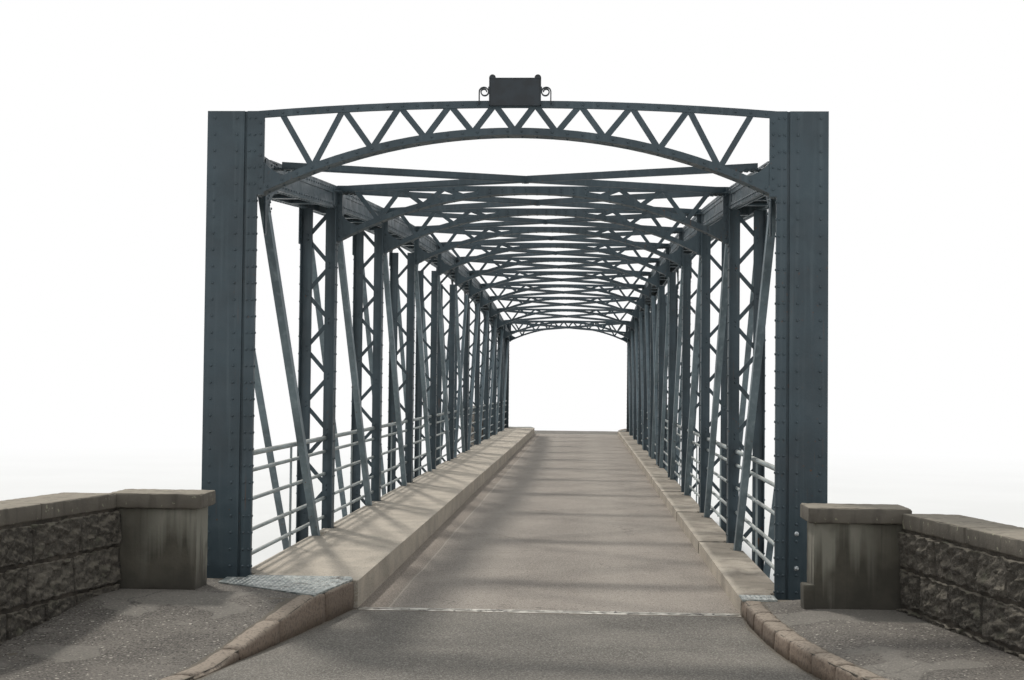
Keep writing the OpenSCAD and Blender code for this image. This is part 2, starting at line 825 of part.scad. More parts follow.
module name_board() {
    centre_z = board_z + board_h / 2;
    scroll_x = board_w / 2 + scroll_r;
    foot = end_post_z + arc_z(clear_w / 2, portal_top_rise, scroll_x + scroll_r);
    color("#22292e") translate([0, -span_end, road_z]) plate_xz(-board_t, 0) {
        translate([-board_w / 2, board_z]) square([board_w, board_h]);
        for (s = [-1, 1])
            translate([s * (board_w / 2 - ear_r), board_z + board_h]) circle(ear_r, $fn = round_fn);
        for (s = [0, 1]) mirror([s, 0])
            translate([scroll_x, centre_z]) scroll(centre_z - foot + band_h / 2);
    }
}

// A fixed shoe: sole plate, rocker and base plate under an end post
module fixed_bearing() {
    plate = bearing_h / 4;
    w = member_w + end_post_lip;
    translate([-w / 2, -end_post_d / 2, -plate]) cube([w, end_post_d, plate]);
    translate([0, 0, -plate]) plate_yz(-half_member, half_member)
        polygon([[-end_post_d / 8, lap], [end_post_d / 8, lap],
            [end_post_d / 3, 2 * plate - bearing_h], [-end_post_d / 3, 2 * plate - bearing_h]]);
    translate([-bed_w / 2 + plate, -bed_w / 2 + plate, -bearing_h])
        cube([bed_w - 2 * plate, bed_w - 2 * plate, plate]);
}

// An expansion bearing: a nest of rollers between two plates
module roller_bearing() {
    plate = bearing_h / 4;
    w = member_w + end_post_lip;
    roller = bearing_h - 2 * plate + 2 * lap;
    translate([-w / 2, -end_post_d / 2, -plate]) cube([w, end_post_d, plate]);
    for (k = [-1 : 1])
        translate([-w / 2, k * roller * 1.3, -bearing_h / 2]) rotate([0, 90, 0])
            cylinder(w, d = roller, $fn = rail_fn);
    translate([-bed_w / 2 + plate, -bed_w / 2 + plate, -bearing_h])
        cube([bed_w - 2 * plate, bed_w - 2 * plate, plate]);
}

module near_bearings() {
    color(steel) both_sides() translate([truss_x, -half_span, road_z + beam_bottom]) fixed_bearing();
}

module far_bearings() {
    color(steel) both_sides() translate([truss_x, half_span, road_z + beam_bottom]) roller_bearing();
}

// Nosings along the open joint, a cover plate on the footway and a toothed plate on the kerb
module joint_plates() {
    tooth = kerb_w / 9;
    road_w = footway_inner + kerb_inner;
    cover_edge = footway_inner + footway_step + footway_flare * pow(cover_long / abutment_l, footway_power);
    translate([0, 0, road_z]) color("#4a4f50") {
        for (y = [-deck_end, -back_wall - nosing_w])
            translate([-footway_inner, y, -nosing_t]) cube([road_w, nosing_w, nosing_t]);
        translate([0, 0, footway_h]) linear_extrude(nosing_t)
            polygon([[-deck_half - cover_side, -back_wall - cover_short],
                [-cover_edge, -back_wall - cover_long],
                [-footway_inner - footway_step, -back_wall],
                [footway_w - deck_half, deck_overhang / 2 - back_wall],
                [-deck_half, deck_overhang / 2 - back_wall], [-deck_half, -back_wall],
                [-deck_half - cover_side, -back_wall]]);
        for (y = [-back_wall - 2 * nosing_w, -back_wall + joint_gap])
            translate([kerb_inner, y, kerb_h]) cube([kerb_w, 2 * nosing_w, nosing_t]);
        for (k = [0 : 2 : 8])
            translate([kerb_inner + k * tooth, -back_wall - lap, kerb_h])
                cube([tooth, joint_gap - 2 * lap, nosing_t]);
    }
}

// Plan of the abutment between the distances y0 and y1 from the middle of the span
module abutment_plan(y0, y1, over) {
    x1 = wing_out + wing_shift * max(0, (y1 - pillar_rear) / (abutment_end - pillar_rear));
    y = max(y0, pillar_rear);
    polygon([[-wing_out - over, -y0], [wing_out + over, -y0], [wing_out + over, -y],
        [x1 + over, -y1], [-x1 - over, -y1], [-wing_out - over, -y]]);
}

// Plan of a raised strip from the road to the wing parapet's inner face; its edge at the road
// starts at the distance x and flares outwards
module strip_plan(x, flare, power) {
    polygon([
        for (k = [0 : flare_n])
            [x + flare * pow(k / flare_n, power), -back_wall - k / flare_n * abutment_l],
        [wing_in + wing_shift, -abutment_end], [wing_in, -pillar_rear],
        [wing_out, -pillar_rear], [wing_out, -back_wall]
    ]);
}

// Side view of the footway on the abutment: level behind the joint, then a ramp down to the road
module ramp_profile() {
    polygon([[-back_wall + lap, 0], [-abutment_end - lap, 0], [-abutment_end - lap, ramp_h + lap],
        [-back_wall - ramp_end, ramp_h + lap], [-back_wall - ramp_start, footway_h + lap],
        [-back_wall + lap, footway_h + lap]]);
}

module abutment() {
    color(stone) difference() {
        union() {
            linear_extrude(road_z + shelf)
                abutment_plan(span_end - shelf_reach, abutment_end, 0);
            linear_extrude(road_z) abutment_plan(back_wall, abutment_end, 0);
            translate([0, 0, road_z - lap]) {
                linear_extrude(kerb_h + lap) strip_plan(kerb_inner + kerb_step, kerb_flare, kerb_power);
                intersection() {
                    linear_extrude(footway_h + lap) mirror([1, 0])
                        strip_plan(footway_inner + footway_step, footway_flare, footway_power);
                    plate_yz(-wing_out - wing_shift, 0) ramp_profile();
                }
            }
            both_sides() translate([truss_x - bed_w / 2, -half_span - bed_w / 2, road_z + shelf - lap])
                cube([bed_w, bed_w, bed_h + lap]);
            linear_extrude(footing_h)
                abutment_plan(span_end - shelf_reach - footing_over, abutment_end + footing_over,
                    footing_over);
        }
        translate([-footway_inner, -back_wall - nosing_w, road_z - nosing_t])
            cube([footway_inner + kerb_inner, nosing_w + lap, nosing_t + lap]);
    }
}

// The left and right pillar, standing on the strips beside the road, the right one with a
// guard stone at its foot whose top is broken
module pillars() {
    color(stone) {
        for (s = SIDES)
            mirror([s[0] < 0 ? 1 : 0, 0, 0]) translate([s[2], -pillar_rear, road_z + s[1]])
                cube([pillar_out - s[2], pillar_d, s[3] - s[1]]);
        translate([pillar_in, 0, road_z + kerb_h]) plate_xz(-pillar_rear, guard_d - pillar_rear)
            polygon([[lap, 0], [-guard_w, 0], [-guard_w, guard_h], [-guard_w * 2 / 3, guard_h * 0.6],
                [lap, guard_h]]);
    }
}

module pillar_caps() {
    color(stone) for (s = SIDES)
        mirror([s[0] < 0 ? 1 : 0, 0, 0])
            translate([s[2] - cap_over, -pillar_rear - cap_over, road_z + s[3]])
                cube([pillar_out - s[2] + 2 * cap_over, pillar_d + 2 * cap_over, cap_t]);
}

// Plan of a wing wall that starts at the distance y0, widened by the overhang
module wing_plan(y0, over) {
    shift = (y0 - pillar_rear) * tan(wing_splay);
    polygon([[wing_in + shift - over, -y0], [wing_out + shift + over, -y0],
        [wing_out + wing_shift + over, -abutment_end], [wing_in + wing_shift - over, -abutment_end]]);
}

module wing_parapets() {
    color(stone) for (s = SIDES)
        translate([0, 0, road_z]) mirror([s[0] < 0 ? 1 : 0, 0, 0])
            linear_extrude(s[4]) wing_plan(pillar_rear, 0);
}

module wing_copings() {
    color(stone) for (s = SIDES)
        translate([0, 0, road_z + s[4]]) mirror([s[0] < 0 ? 1 : 0, 0, 0])
            linear_extrude(cap_t) wing_plan(pillar_rear + cap_over, coping_over);
}

abutment();  // near_abutment
mirror([0, 1, 0]) abutment();  // far_abutment
near_bearings();
far_bearings();
on_truss(-1) bottom_chord();  // left_bottom_chord
on_truss(1) bottom_chord();  // right_bottom_chord
on_truss(-1) top_chord();  // left_top_chord
on_truss(1) top_chord();  // right_top_chord
place_end_post(-1, 0);  // near_left_end_post
place_end_post(1, 0);  // near_right_end_post
place_end_post(-1, 1);  // far_left_end_post
place_end_post(1, 1);  // far_right_end_post
on_truss(-1) posts();  // left_posts
on_truss(1) posts();  // right_posts
on_truss(-1) diagonals();  // left_diagonals
on_truss(1) diagonals();  // right_diagonals
on_truss(-1) upper_gussets();  // left_upper_gussets
on_truss(1) upper_gussets();  // right_upper_gussets
on_truss(-1) lower_gussets();  // left_lower_gussets
on_truss(1) lower_gussets();  // right_lower_gussets
portal_frame();  // near_portal_frame
mirror([0, 1, 0]) portal_frame();  // far_portal_frame
cross_frames();
top_bracing();
floor_beams();
stringers();
bottom_bracing();
roadway_slab();
footway_slab();
footway_edge();
kerb_blocks();
on_truss(-1) railing(footway_h);  // left_railing
on_truss(1) railing(kerb_h);  // right_railing
name_board();
joint_plates();  // near_joint_plates
mirror([0, 1, 0]) joint_plates();  // far_joint_plates
pillars();  // near_pillars
mirror([0, 1, 0]) pillars();  // far_pillars
pillar_caps();  // near_pillar_caps
mirror([0, 1, 0]) pillar_caps();  // far_pillar_caps
wing_parapets();  // near_wing_parapets
mirror([0, 1, 0]) wing_parapets();  // far_wing_parapets
wing_copings();  // near_wing_copings
mirror([0, 1, 0]) wing_copings();  // far_wing_copings
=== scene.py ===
import json

import bpy
import numpy as np
from bpy.props import FloatProperty, FloatVectorProperty, IntProperty, PointerProperty
from mathutils import Matrix, Vector


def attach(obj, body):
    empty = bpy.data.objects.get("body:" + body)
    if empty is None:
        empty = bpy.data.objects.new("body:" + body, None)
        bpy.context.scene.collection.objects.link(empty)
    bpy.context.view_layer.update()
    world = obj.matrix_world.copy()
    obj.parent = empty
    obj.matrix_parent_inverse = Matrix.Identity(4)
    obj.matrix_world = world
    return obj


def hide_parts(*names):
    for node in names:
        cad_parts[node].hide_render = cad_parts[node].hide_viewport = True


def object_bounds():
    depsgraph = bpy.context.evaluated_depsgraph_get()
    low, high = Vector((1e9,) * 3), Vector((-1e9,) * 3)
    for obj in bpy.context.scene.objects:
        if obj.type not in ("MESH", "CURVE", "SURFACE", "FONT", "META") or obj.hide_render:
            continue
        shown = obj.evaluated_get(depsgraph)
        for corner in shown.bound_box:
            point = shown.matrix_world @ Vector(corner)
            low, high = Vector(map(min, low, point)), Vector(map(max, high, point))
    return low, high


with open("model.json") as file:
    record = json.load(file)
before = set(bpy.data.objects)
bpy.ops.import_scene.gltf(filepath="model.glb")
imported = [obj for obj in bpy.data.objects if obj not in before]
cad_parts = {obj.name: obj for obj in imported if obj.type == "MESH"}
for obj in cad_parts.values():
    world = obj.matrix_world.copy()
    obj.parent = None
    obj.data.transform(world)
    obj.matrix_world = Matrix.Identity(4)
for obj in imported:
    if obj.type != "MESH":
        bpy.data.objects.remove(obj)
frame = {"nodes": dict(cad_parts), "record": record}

bl_info = {
    "name": "Riveted truss bridge",
    "version": (1, 0, 0),
    "blender": (4, 5, 0),
    "location": "View3D > Sidebar > Bridge",
    "description": "Dresses a riveted truss road bridge with rivets, masonry, kerbs and materials",
    "category": "Object",
}

LOADED_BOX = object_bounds()

# Sizes of the frame in metres, the same values as in the part's source; levels are measured
# from the road surface unless the name says otherwise
ROAD = 1.650
PANELS = 11
PANEL_L = 1.850
HALF_SPAN = PANELS * PANEL_L / 2
TRUSS_X = 1.200
HALF_MEMBER = 0.100
GUSSET_FACE = 0.106
CHORD_H = 0.125
BEAM_BOTTOM = -0.450
BOTTOM_CHORD_H = 0.150
CHORD_TOP = BEAM_BOTTOM + BOTTOM_CHORD_H
END_POST_D = 0.250
END_POST_Z = 2.080
SPAN_END = HALF_SPAN + END_POST_D / 2
CLEAR_HALF = 1.100
FRAME_HALF = TRUSS_X - GUSSET_FACE
BRACE_W, BRACE_DROP, BRACE_END = 0.030, 0.036, 0.050
BOX_OUT = 0.029
BAND = 0.030
WEB_T = 0.014
# Rise of the portals' upper band, springing and crown of the lower one, depth of its flange, and
# the levels between which their corner plates cover the end posts
PORTAL_RISE, PORTAL_SPRING, PORTAL_CROWN, PORTAL_FLANGE = 0.045, 1.720, 1.980, 0.090
PORTAL_PLATE = (1.68, 1.93)
# How far springing and crown of a cross frame lie under the chord, and its flange
FRAME_SPRING, FRAME_CROWN, FRAME_FLANGE = 0.315, 0.040, 0.080
# Reach of a gusset from its panel point, away from and along the diagonal, and its height
GUSSET_SHORT, GUSSET_LONG, GUSSET_H = 0.150, 0.260, 0.310
# Length of a lacing bar along its post, and how far the rows of rivets lie off the middle of a
# post, of the top chord's cover and of the chords' flanges
LACE_PITCH, POST_ROW, COVER_ROW, FLANGE_ROW = 0.155, 0.026, 0.082, 0.080
FOOTWAY_H = 0.112
KERB_H = 0.065
RAMP_START, RAMP_END, RAMP_H = 0.500, 1.300, 0.012
DECK_HALF = 1.0835
FOOTWAY_X, KERB_X = 0.6185, 0.9435
BACK_WALL, BACK_WALL_HALF, BACK_WALL_TOP = 10.450, 1.600, ROAD - 0.110
ABUTMENT_END = 12.350
ABUTMENT_L = ABUTMENT_END - BACK_WALL
PILLAR_OUT = 1.520
PILLAR_FRONT, PILLAR_REAR = 10.620, 10.800
WING_IN, WING_OUT, WING_SHIFT = 1.510, 1.700, 0.3013
WING_W = WING_OUT - WING_IN
WING_L = ABUTMENT_END - PILLAR_REAR
CAP_T, CAP_OVER, COPING_OVER = 0.060, 0.024, 0.012
GUARD_W, GUARD_D, GUARD_H = 0.038, 0.090, 0.110
SHELF_Y = 10.000
SHELF_Z = ROAD - 0.570
FOOTING_H = 0.180
PLATE_T = 0.008
# For the left (-1) and the right side (1): the strip beside the road, the inner face of the
# pillar, and the undersides of its cap and of the coping
STRIP_H = {-1: FOOTWAY_H, 1: KERB_H}
PILLAR_IN = {-1: 1.198, 1: 1.180}
CAP_BOTTOM = {-1: 0.428, 1: 0.410}
COPING_BOTTOM = {-1: 0.428, 1: 0.394}
# The kerb lines on the abutments: place at the open joint, how far they flare, and the power of
# the curve, as in the part's source
FLARE = {-1: (0.6385, 0.350, 1.1), 1: (0.9535, 0.315, 2.5)}
SIDES = ((-1, "left"), (1, "right"))
ENDS = ((1, "near"), (-1, "far"))


def linear(code):
    """Linear RGB of an sRGB hex colour."""
    srgb = np.array([int(code[i:i + 2], 16) for i in (1, 3, 5)]) / 255
    return tuple(np.where(srgb <= 0.04045, srgb / 12.92, ((srgb + 0.055) / 1.055) ** 2.4))


def length(name, description, default, low, high):
    """A length that the user can change."""
    return FloatProperty(name=name, description=description, default=default, min=low, max=high,
                         unit="LENGTH")


def paint_colour(name, description, code):
    """A colour that the user can change."""
    return FloatVectorProperty(name=name, description=description, default=linear(code), min=0, max=1,
                               subtype="COLOR")


class BridgeSizes(bpy.types.PropertyGroup):
    """Sizes of the pieces that dress the frame."""

    rivet_d: length("Rivet head", "Diameter of a rivet head", 0.0125, 0.006, 0.02)
    rivet_h: length("Rivet height", "Height of a rivet head", 0.0045, 0.002, 0.008)
    chord_pitch: length("Chord rivet pitch", "Spacing of the rivets on the chords", 0.062, 0.04, 0.12)
    post_pitch: length("Post rivet pitch", "Spacing of the rivets on the posts", 0.070, 0.04, 0.15)
    angle_leg: length("Chord angle leg", "Height of the upright legs on the chord's webs", 0.036, 0.02, 0.05)
    angle_t: length("Chord angle thickness", "How far those legs stand out", 0.0045, 0.002, 0.006)
    brace_leg: length("Bracing angle leg", "Height of the top bracing's upright legs", 0.033, 0.01, 0.035)
    course_h: length("Course height", "Height of one course of masonry", 0.113, 0.08, 0.2)
    stone_l: length("Stone length", "Mean length of one stone", 0.27, 0.15, 0.5)
    stone_out: length("Rock face", "How far a rock face stands out from the wall", 0.022, 0.01, 0.04)
    parapet_course: length("Parapet course", "Height of a course of the parapets", 0.142, 0.1, 0.2)
    parapet_out: length("Parapet rock face", "How far the parapets' rock faces stand out", 0.042, 0.01, 0.05)
    block_round: length("Worn edge", "Radius of the worn edges of caps and copings", 0.007, 0.002, 0.02)
    tread_pitch: length("Tread pitch", "Spacing of the raised treads on the joint plates", 0.021, 0.012, 0.04)
    bolt_d: length("Bolt head", "Width of a bolt head", 0.021, 0.01, 0.04)
    mortar_w: length("Joint width", "Width of the mortar joints", 0.009, 0.004, 0.02)
    kerb_stone_l: length("Kerb stone length", "Mean length of a kerb stone", 0.19, 0.1, 0.5)
    kerb_stone_w: length("Kerb stone width", "Width of a kerb stone's top", 0.062, 0.04, 0.1)
    seed: IntProperty(name="Seed", description="Seed of the stones' random shapes", default=7, min=0)


class BridgeColours(bpy.types.PropertyGroup):
    """Colours of the finishes."""

    paint: paint_colour("Bridge paint", "Dark blue-grey paint of the steelwork", "#38464d")
    paint_faded: paint_colour("Faded paint", "Paint where sun and dust have paled it", "#5f6c71")
    # The diagonals' colour is the bridge paint made paler: painted light, for the sky and the light bounced
    # up from the deck on their faces
    diagonal: paint_colour("Diagonals", "Chalky paint of the diagonals", "#66757c")
    # The rails' pale grey is partly their own paint and partly painted light, for the sun on their tops
    rail: paint_colour("Rails", "Pale grey paint of the rails", "#8b9698")
    rust: paint_colour("Rust", "Rust that breaks through the paint", "#5b3d2a")
    board: paint_colour("Board", "Black paint of the bare board and its scrolls", "#1b242a")
    concrete: paint_colour("Concrete", "Weathered concrete of the deck", "#b4a999")
    pillar: paint_colour("Pillar", "Rendered stone of the pillars", "#565248")
    coping: paint_colour("Coping", "Dressed stone of caps and copings", "#6c665c")
    rubble: paint_colour("Rubble", "Rock-faced stone of the walls", "#57524a")
    kerb: paint_colour("Kerb stone", "Brown granite of the kerb stones", "#7d6e60")
    asphalt: paint_colour("Asphalt", "Worn asphalt on the abutments", "#6d6860")
    roadway: paint_colour("Roadway", "Worn surfacing of the roadway on the deck", "#8f867c")
    footpath: paint_colour("Footpath", "Coarse brown-grey asphalt beside the road", "#67625b")


def sizes():
    """The sizes that the scene holds."""
    return bpy.context.scene.bridge_sizes


# Geometry of the frame

def point_y(i):
    """Place of panel point i along the bridge."""
    return np.asarray(i) * PANEL_L - HALF_SPAN


def chord_point_z(i):
    """Height of the top chord over the road at panel point i: a parabola over the span."""
    return 1.900 + 0.400 * (1 - (point_y(i) / HALF_SPAN) ** 2)


def inner_points():
    """Place along the bridge and height of the top chord at each panel point between the ends."""
    return [(float(point_y(i)), float(chord_point_z(i))) for i in range(1, PANELS)]


def chord_z(y):
    """Height of the top chord at distance y: straight between the panel points."""
    i = np.arange(PANELS + 1)
    return np.interp(y, point_y(i), chord_point_z(i))


def arc_z(half, rise, x):
    """Height of a circular arc over its springing at distance x from its crown."""
    r = (half * half + rise * rise) / (2 * rise)
    return np.sqrt(r * r - x * x) - r + rise


def on_truss(points, normals, side):
    """Moves points and directions of a truss piece to the left (-1) or right (1) truss."""
    p = points * (-side, 1, 1) + (side * TRUSS_X, 0, ROAD)
    return p, normals * (-side, 1, 1)


def spaced(a, b, pitch):
    """Numbers from a to b, evenly spaced, about one pitch apart."""
    return np.linspace(a, b, max(2, int(round(abs(b - a) / pitch)) + 1))


def ripple(points, wave, seed, count=8, ridged=False):
    """Smooth noise between about -1 and 1: the mean of sine waves in random directions. Ridged
    noise folds each wave at its middle, which leaves sharp creases."""
    rng = np.random.default_rng(seed)
    k = rng.normal(size=(count, 3))
    k *= (2 * np.pi / wave) / np.linalg.norm(k, axis=1, keepdims=True)
    phase = rng.uniform(0, 2 * np.pi, count)
    waves = np.sin(points @ k.T + phase)
    if ridged:
        waves = 1 - 2 * np.abs(waves)
    return waves.sum(axis=-1) / np.sqrt(count)


# Meshes

def piece(name, points, faces, look, smooth=False):
    """An object from an array of points and arrays of faces, which rides on the bridge."""
    mesh = bpy.data.meshes.new(name)
    mesh.from_pydata(points.reshape(-1, 3), [], [f for part in faces for f in part.tolist()])
    mesh.polygons.foreach_set("use_smooth", np.full(len(mesh.polygons), smooth))
    mesh.materials.append(finish(look))
    mesh.validate()
    mesh.update()
    obj = bpy.data.objects.new(name, mesh)
    bpy.context.scene.collection.objects.link(obj)
    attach(obj, "root")
    return obj


def give_tones(obj, tones):
    """Gives each point of a piece the tone of its stone, which the stone's material reads."""
    obj.data.attributes.new("stone", "FLOAT", "POINT").data.foreach_set("value", tones)


def grid_faces(rows, columns, count=1):
    """Quads of grids with rows x columns points, for a number of grids one after another."""
    i, j = np.meshgrid(np.arange(rows - 1), np.arange(columns - 1), indexing="ij")
    a = (i * columns + j).ravel()
    quads = np.stack([a, a + columns, a + columns + 1, a + 1], axis=1)
    return (quads[None] + np.arange(count)[:, None, None] * rows * columns).reshape(-1, 4)


def on_rim(shape):
    """True on the outermost points of a grid."""
    rim = np.ones(shape, bool)
    rim[1:-1, 1:-1] = False
    return rim


def axes(normals):
    """Two unit directions square to each normal, which make a right-handed frame with it."""
    ref = np.where(np.abs(normals[:, 2:3]) > 0.9, [[1.0, 0.0, 0.0]], [[0.0, 0.0, 1.0]])
    a = np.cross(ref, normals)
    a /= np.linalg.norm(a, axis=1, keepdims=True)
    return a, np.cross(normals, a)


def heads(name, rows, width, height, sides, look, domed):
    """Rivet or bolt heads on given points: a ring at the plate, a ring near the top, narrower on a
    dome, and a flat crown."""
    points = np.concatenate([p for p, n in rows])
    normals = np.concatenate([np.broadcast_to(n, p.shape) for p, n in rows])
    a, b = axes(normals)
    turn = np.tile(np.arange(sides) * 2 * np.pi / sides, 2)
    radius = np.repeat([width / 2, width * (0.36 if domed else 0.47)], sides)
    lift = np.repeat([-0.0005, height], sides)
    verts = (points[:, None] + a[:, None] * (radius * np.cos(turn))[None, :, None]
             + b[:, None] * (radius * np.sin(turn))[None, :, None]
             + normals[:, None] * lift[None, :, None])
    k = np.arange(sides)
    ring = np.stack([k, (k + 1) % sides, (k + 1) % sides + sides, k + sides], axis=1)
    offset = (np.arange(len(points)) * 2 * sides)[:, None, None]
    faces = [(ring[None] + offset).reshape(-1, 4), (k[None] + sides + offset).reshape(-1, sides)]
    piece(name, verts, faces, look, smooth=domed)


def rivets(name, rows):
    """Rivet heads of the steelwork."""
    s = sizes()
    heads(name, rows, s.rivet_d, s.rivet_h, 8, "bridge_paint", True)


def boxes(name, corners, look):
    """Straight bars given by their eight corners: the four of one end, then the four of the
    other, each end in the same turn. Each bar is turned so that its faces point outwards."""
    corners = np.asarray(corners).reshape(-1, 8, 3)
    e1, e2, e3 = (corners[:, k] - corners[:, 0] for k in (1, 3, 4))
    flip = np.einsum("ij,ij->i", np.cross(e1, e2), e3) < 0
    corners[flip] = corners[flip][:, [0, 3, 2, 1, 4, 7, 6, 5]]
    quads = np.array([[3, 2, 1, 0], [4, 5, 6, 7], [0, 1, 5, 4], [1, 2, 6, 5], [2, 3, 7, 6], [3, 0, 4, 7]])
    faces = (quads[None] + (np.arange(len(corners)) * 8)[:, None, None]).reshape(-1, 4)
    piece(name, corners, [faces], look)


# Materials

def rgba(tone):
    """Linear RGBA of a hex value or of one of the scene's colours by its name, which may come with
    a factor that makes it lighter or darker. A socket stays as it is."""
    if isinstance(tone, bpy.types.NodeSocket):
        return tone
    name, factor = (tone, 1.0) if isinstance(tone, str) else tone
    rgb = linear(name) if name.startswith("#") else getattr(bpy.context.scene.bridge_colours, name)
    return (*(min(1.0, c * factor) for c in rgb), 1.0)


def add(tree, kind, inputs=(), **settings):
    """Adds a shader node of a kind, sets its options, and sets or links its inputs."""
    new = tree.nodes.new("ShaderNode" + kind)
    for key, value in settings.items():
        setattr(new, key, value)
    for key, value in dict(inputs).items():
        if isinstance(value, bpy.types.NodeSocket):
            tree.links.new(value, new.inputs[key])
        else:
            new.inputs[key].default_value = value
    return new


def begin(name, roughness, metallic=0.0):
    """A new material with its shader, and the coordinates that its patterns read."""
    material = bpy.data.materials.new(name)
    material.use_nodes = True
    tree = material.node_tree
    shader = tree.nodes["Principled BSDF"]
    shader.inputs["Roughness"].default_value = roughness
    shader.inputs["Metallic"].default_value = metallic
    return material, tree, shader, add(tree, "TexCoord").outputs["Object"]


def speckle(tree, place, grain, detail=3.0, low=0.4, high=0.6, stretch=(1, 1, 1)):
    """Noise with grains of about the given size in metres, raised from 0 at low to 1 at high."""
    scaled = add(tree, "Mapping", {"Vector": place, "Scale": stretch})
    noise = add(tree, "TexNoise", {"Vector": scaled.outputs[0], "Scale": 0.5 / grain, "Detail": detail})
    raised = add(tree, "MapRange", {"Value": noise.outputs["Fac"], "From Min": low, "From Max": high})
    return raised.outputs[0]


def facing_up(tree, low=0.5, high=0.9):
    """1 on surfaces that face the sky and 0 on walls and undersides."""
    normal = add(tree, "NewGeometry").outputs["Normal"]
    z = add(tree, "SeparateXYZ", {0: normal}).outputs[2]
    return add(tree, "MapRange", {"Value": z, "From Min": low, "From Max": high}).outputs[0]


def line_at(tree, value, places, width):
    """1 where a number is within half the width of one of the places, and 0 elsewhere."""
    found = 0.0
    for centre in places:
        near = add(tree, "Math", {0: value, 1: centre, 2: width / 2}, operation="COMPARE")
        found = add(tree, "Math", {0: found, 1: near.outputs[0]}, operation="MAXIMUM").outputs[0]
    return found


def cracks(tree, place, size, width, share):
    """Thin irregular cracks: the borders of cells of the given size, broken up by noise."""
    bent = add(tree, "TexNoise", {"Vector": place, "Scale": 2.2 / size, "Detail": 5.0})
    moved = add(tree, "Mix", {0: size * 0.55, 4: place, 5: bent.outputs["Color"]}, data_type="VECTOR")
    cell = add(tree, "TexVoronoi", {"Vector": moved.outputs[1], "Scale": 1 / size},
               feature="DISTANCE_TO_EDGE")
    thin = add(tree, "MapRange", {"Value": cell.outputs["Distance"], "From Min": 0.0,
                                  "From Max": width / size, "To Min": 1.0, "To Max": 0.0})
    broken = speckle(tree, place, size * 0.7, 2.0, 0.96 - share, 1.04 - share)
    return add(tree, "Math", {0: thin.outputs[0], 1: broken}, operation="MULTIPLY").outputs[0]


def coats(tree, place, ground, rows):
    """Coats of colour laid over a ground, one after another. A row ends with the coat's colour. The
    items before it are multiplied, which gives the share that the coat covers: each is a number,
    a pattern, or the grain and further settings of a speckle."""
    base = rgba(ground)
    for *factors, tone in rows:
        share, *more = (speckle(tree, place, *f) if isinstance(f, tuple) else f for f in factors)
        for factor in more:
            share = add(tree, "Math", {0: share, 1: factor}, operation="MULTIPLY").outputs[0]
        base = add(tree, "Mix", {0: share, 6: base, 7: rgba(tone)}, data_type="RGBA").outputs[2]
    return base


def alkyd_paint(tree, place, skin, pale):
    # Brushed alkyd paint on riveted steel: a satin dark blue-grey skin, paled by sun and dust on
    # its upper faces, with rain streaks down the posts and rust freckles and runs in a few places.
    # On the diagonals the paler grey is painted light, a lit copy of the bridge paint; on the rails the paler
    # grey is partly their own paint and partly painted light of the sun on them. Its brush marks are drawn 4
    # mm apart so that they show
    patches = speckle(tree, place, 0.20, 2.0, 0.5, 0.62)
    return coats(tree, place, (skin, 0.80), [
        ((0.15,), (skin, 1.16)),
        ((0.05, 3.0, 0.5, 0.7), 0.22, pale),
        ((0.012, 2.0, 0.52, 0.78, (1, 1, 0.035)), 0.35, pale),
        (facing_up(tree), 0.60, pale),
        ((0.007, 3.0, 0.64, 0.76, (1, 1, 0.05)), patches, 0.55, ("rust", 1.3)),
        ((0.010, 4.0, 0.655, 0.72), patches, "rust"),
    ])


def enamelled_iron(tree, place):
    # Black enamel on wrought iron: darker and glossier than the paint, with faint dust
    return coats(tree, place, ("board", 0.8), [
        ((0.03,), ("board", 1.35)),
        (facing_up(tree), 0.5, "paint_faded"),
    ])


def cast_iron(tree, place):
    # Cast iron of the bearings: dull, grainy and rusty
    return coats(tree, place, "#3b352f", [((0.02,), "rust")])


def worn_steel(tree, place, dark, bright):
    # Rolled steel plate polished by traffic: grey with brown grain, and bare and bright on the
    # treads that feet and wheels rub. The nosings across the road, level with it, are chipped,
    # dusty and nearly white, with dark gaps
    dusty = coats(tree, place, "#8f8a81", [
        ((0.025, 4.0, 0.42, 0.6), "#dedad0"),
        ((0.016, 3.0, 0.60, 0.64), "#3c3731"),
    ])
    height = add(tree, "SeparateXYZ", {0: place}).outputs[2]
    low = add(tree, "Math", {0: height, 1: ROAD + 0.02}, operation="LESS_THAN").outputs[0]
    return coats(tree, place, dark, [
        ((0.012,), bright),
        ((0.03, 4.0, 0.55, 0.75), 0.8, "#5a4d41"),
        (low, dusty),
    ])


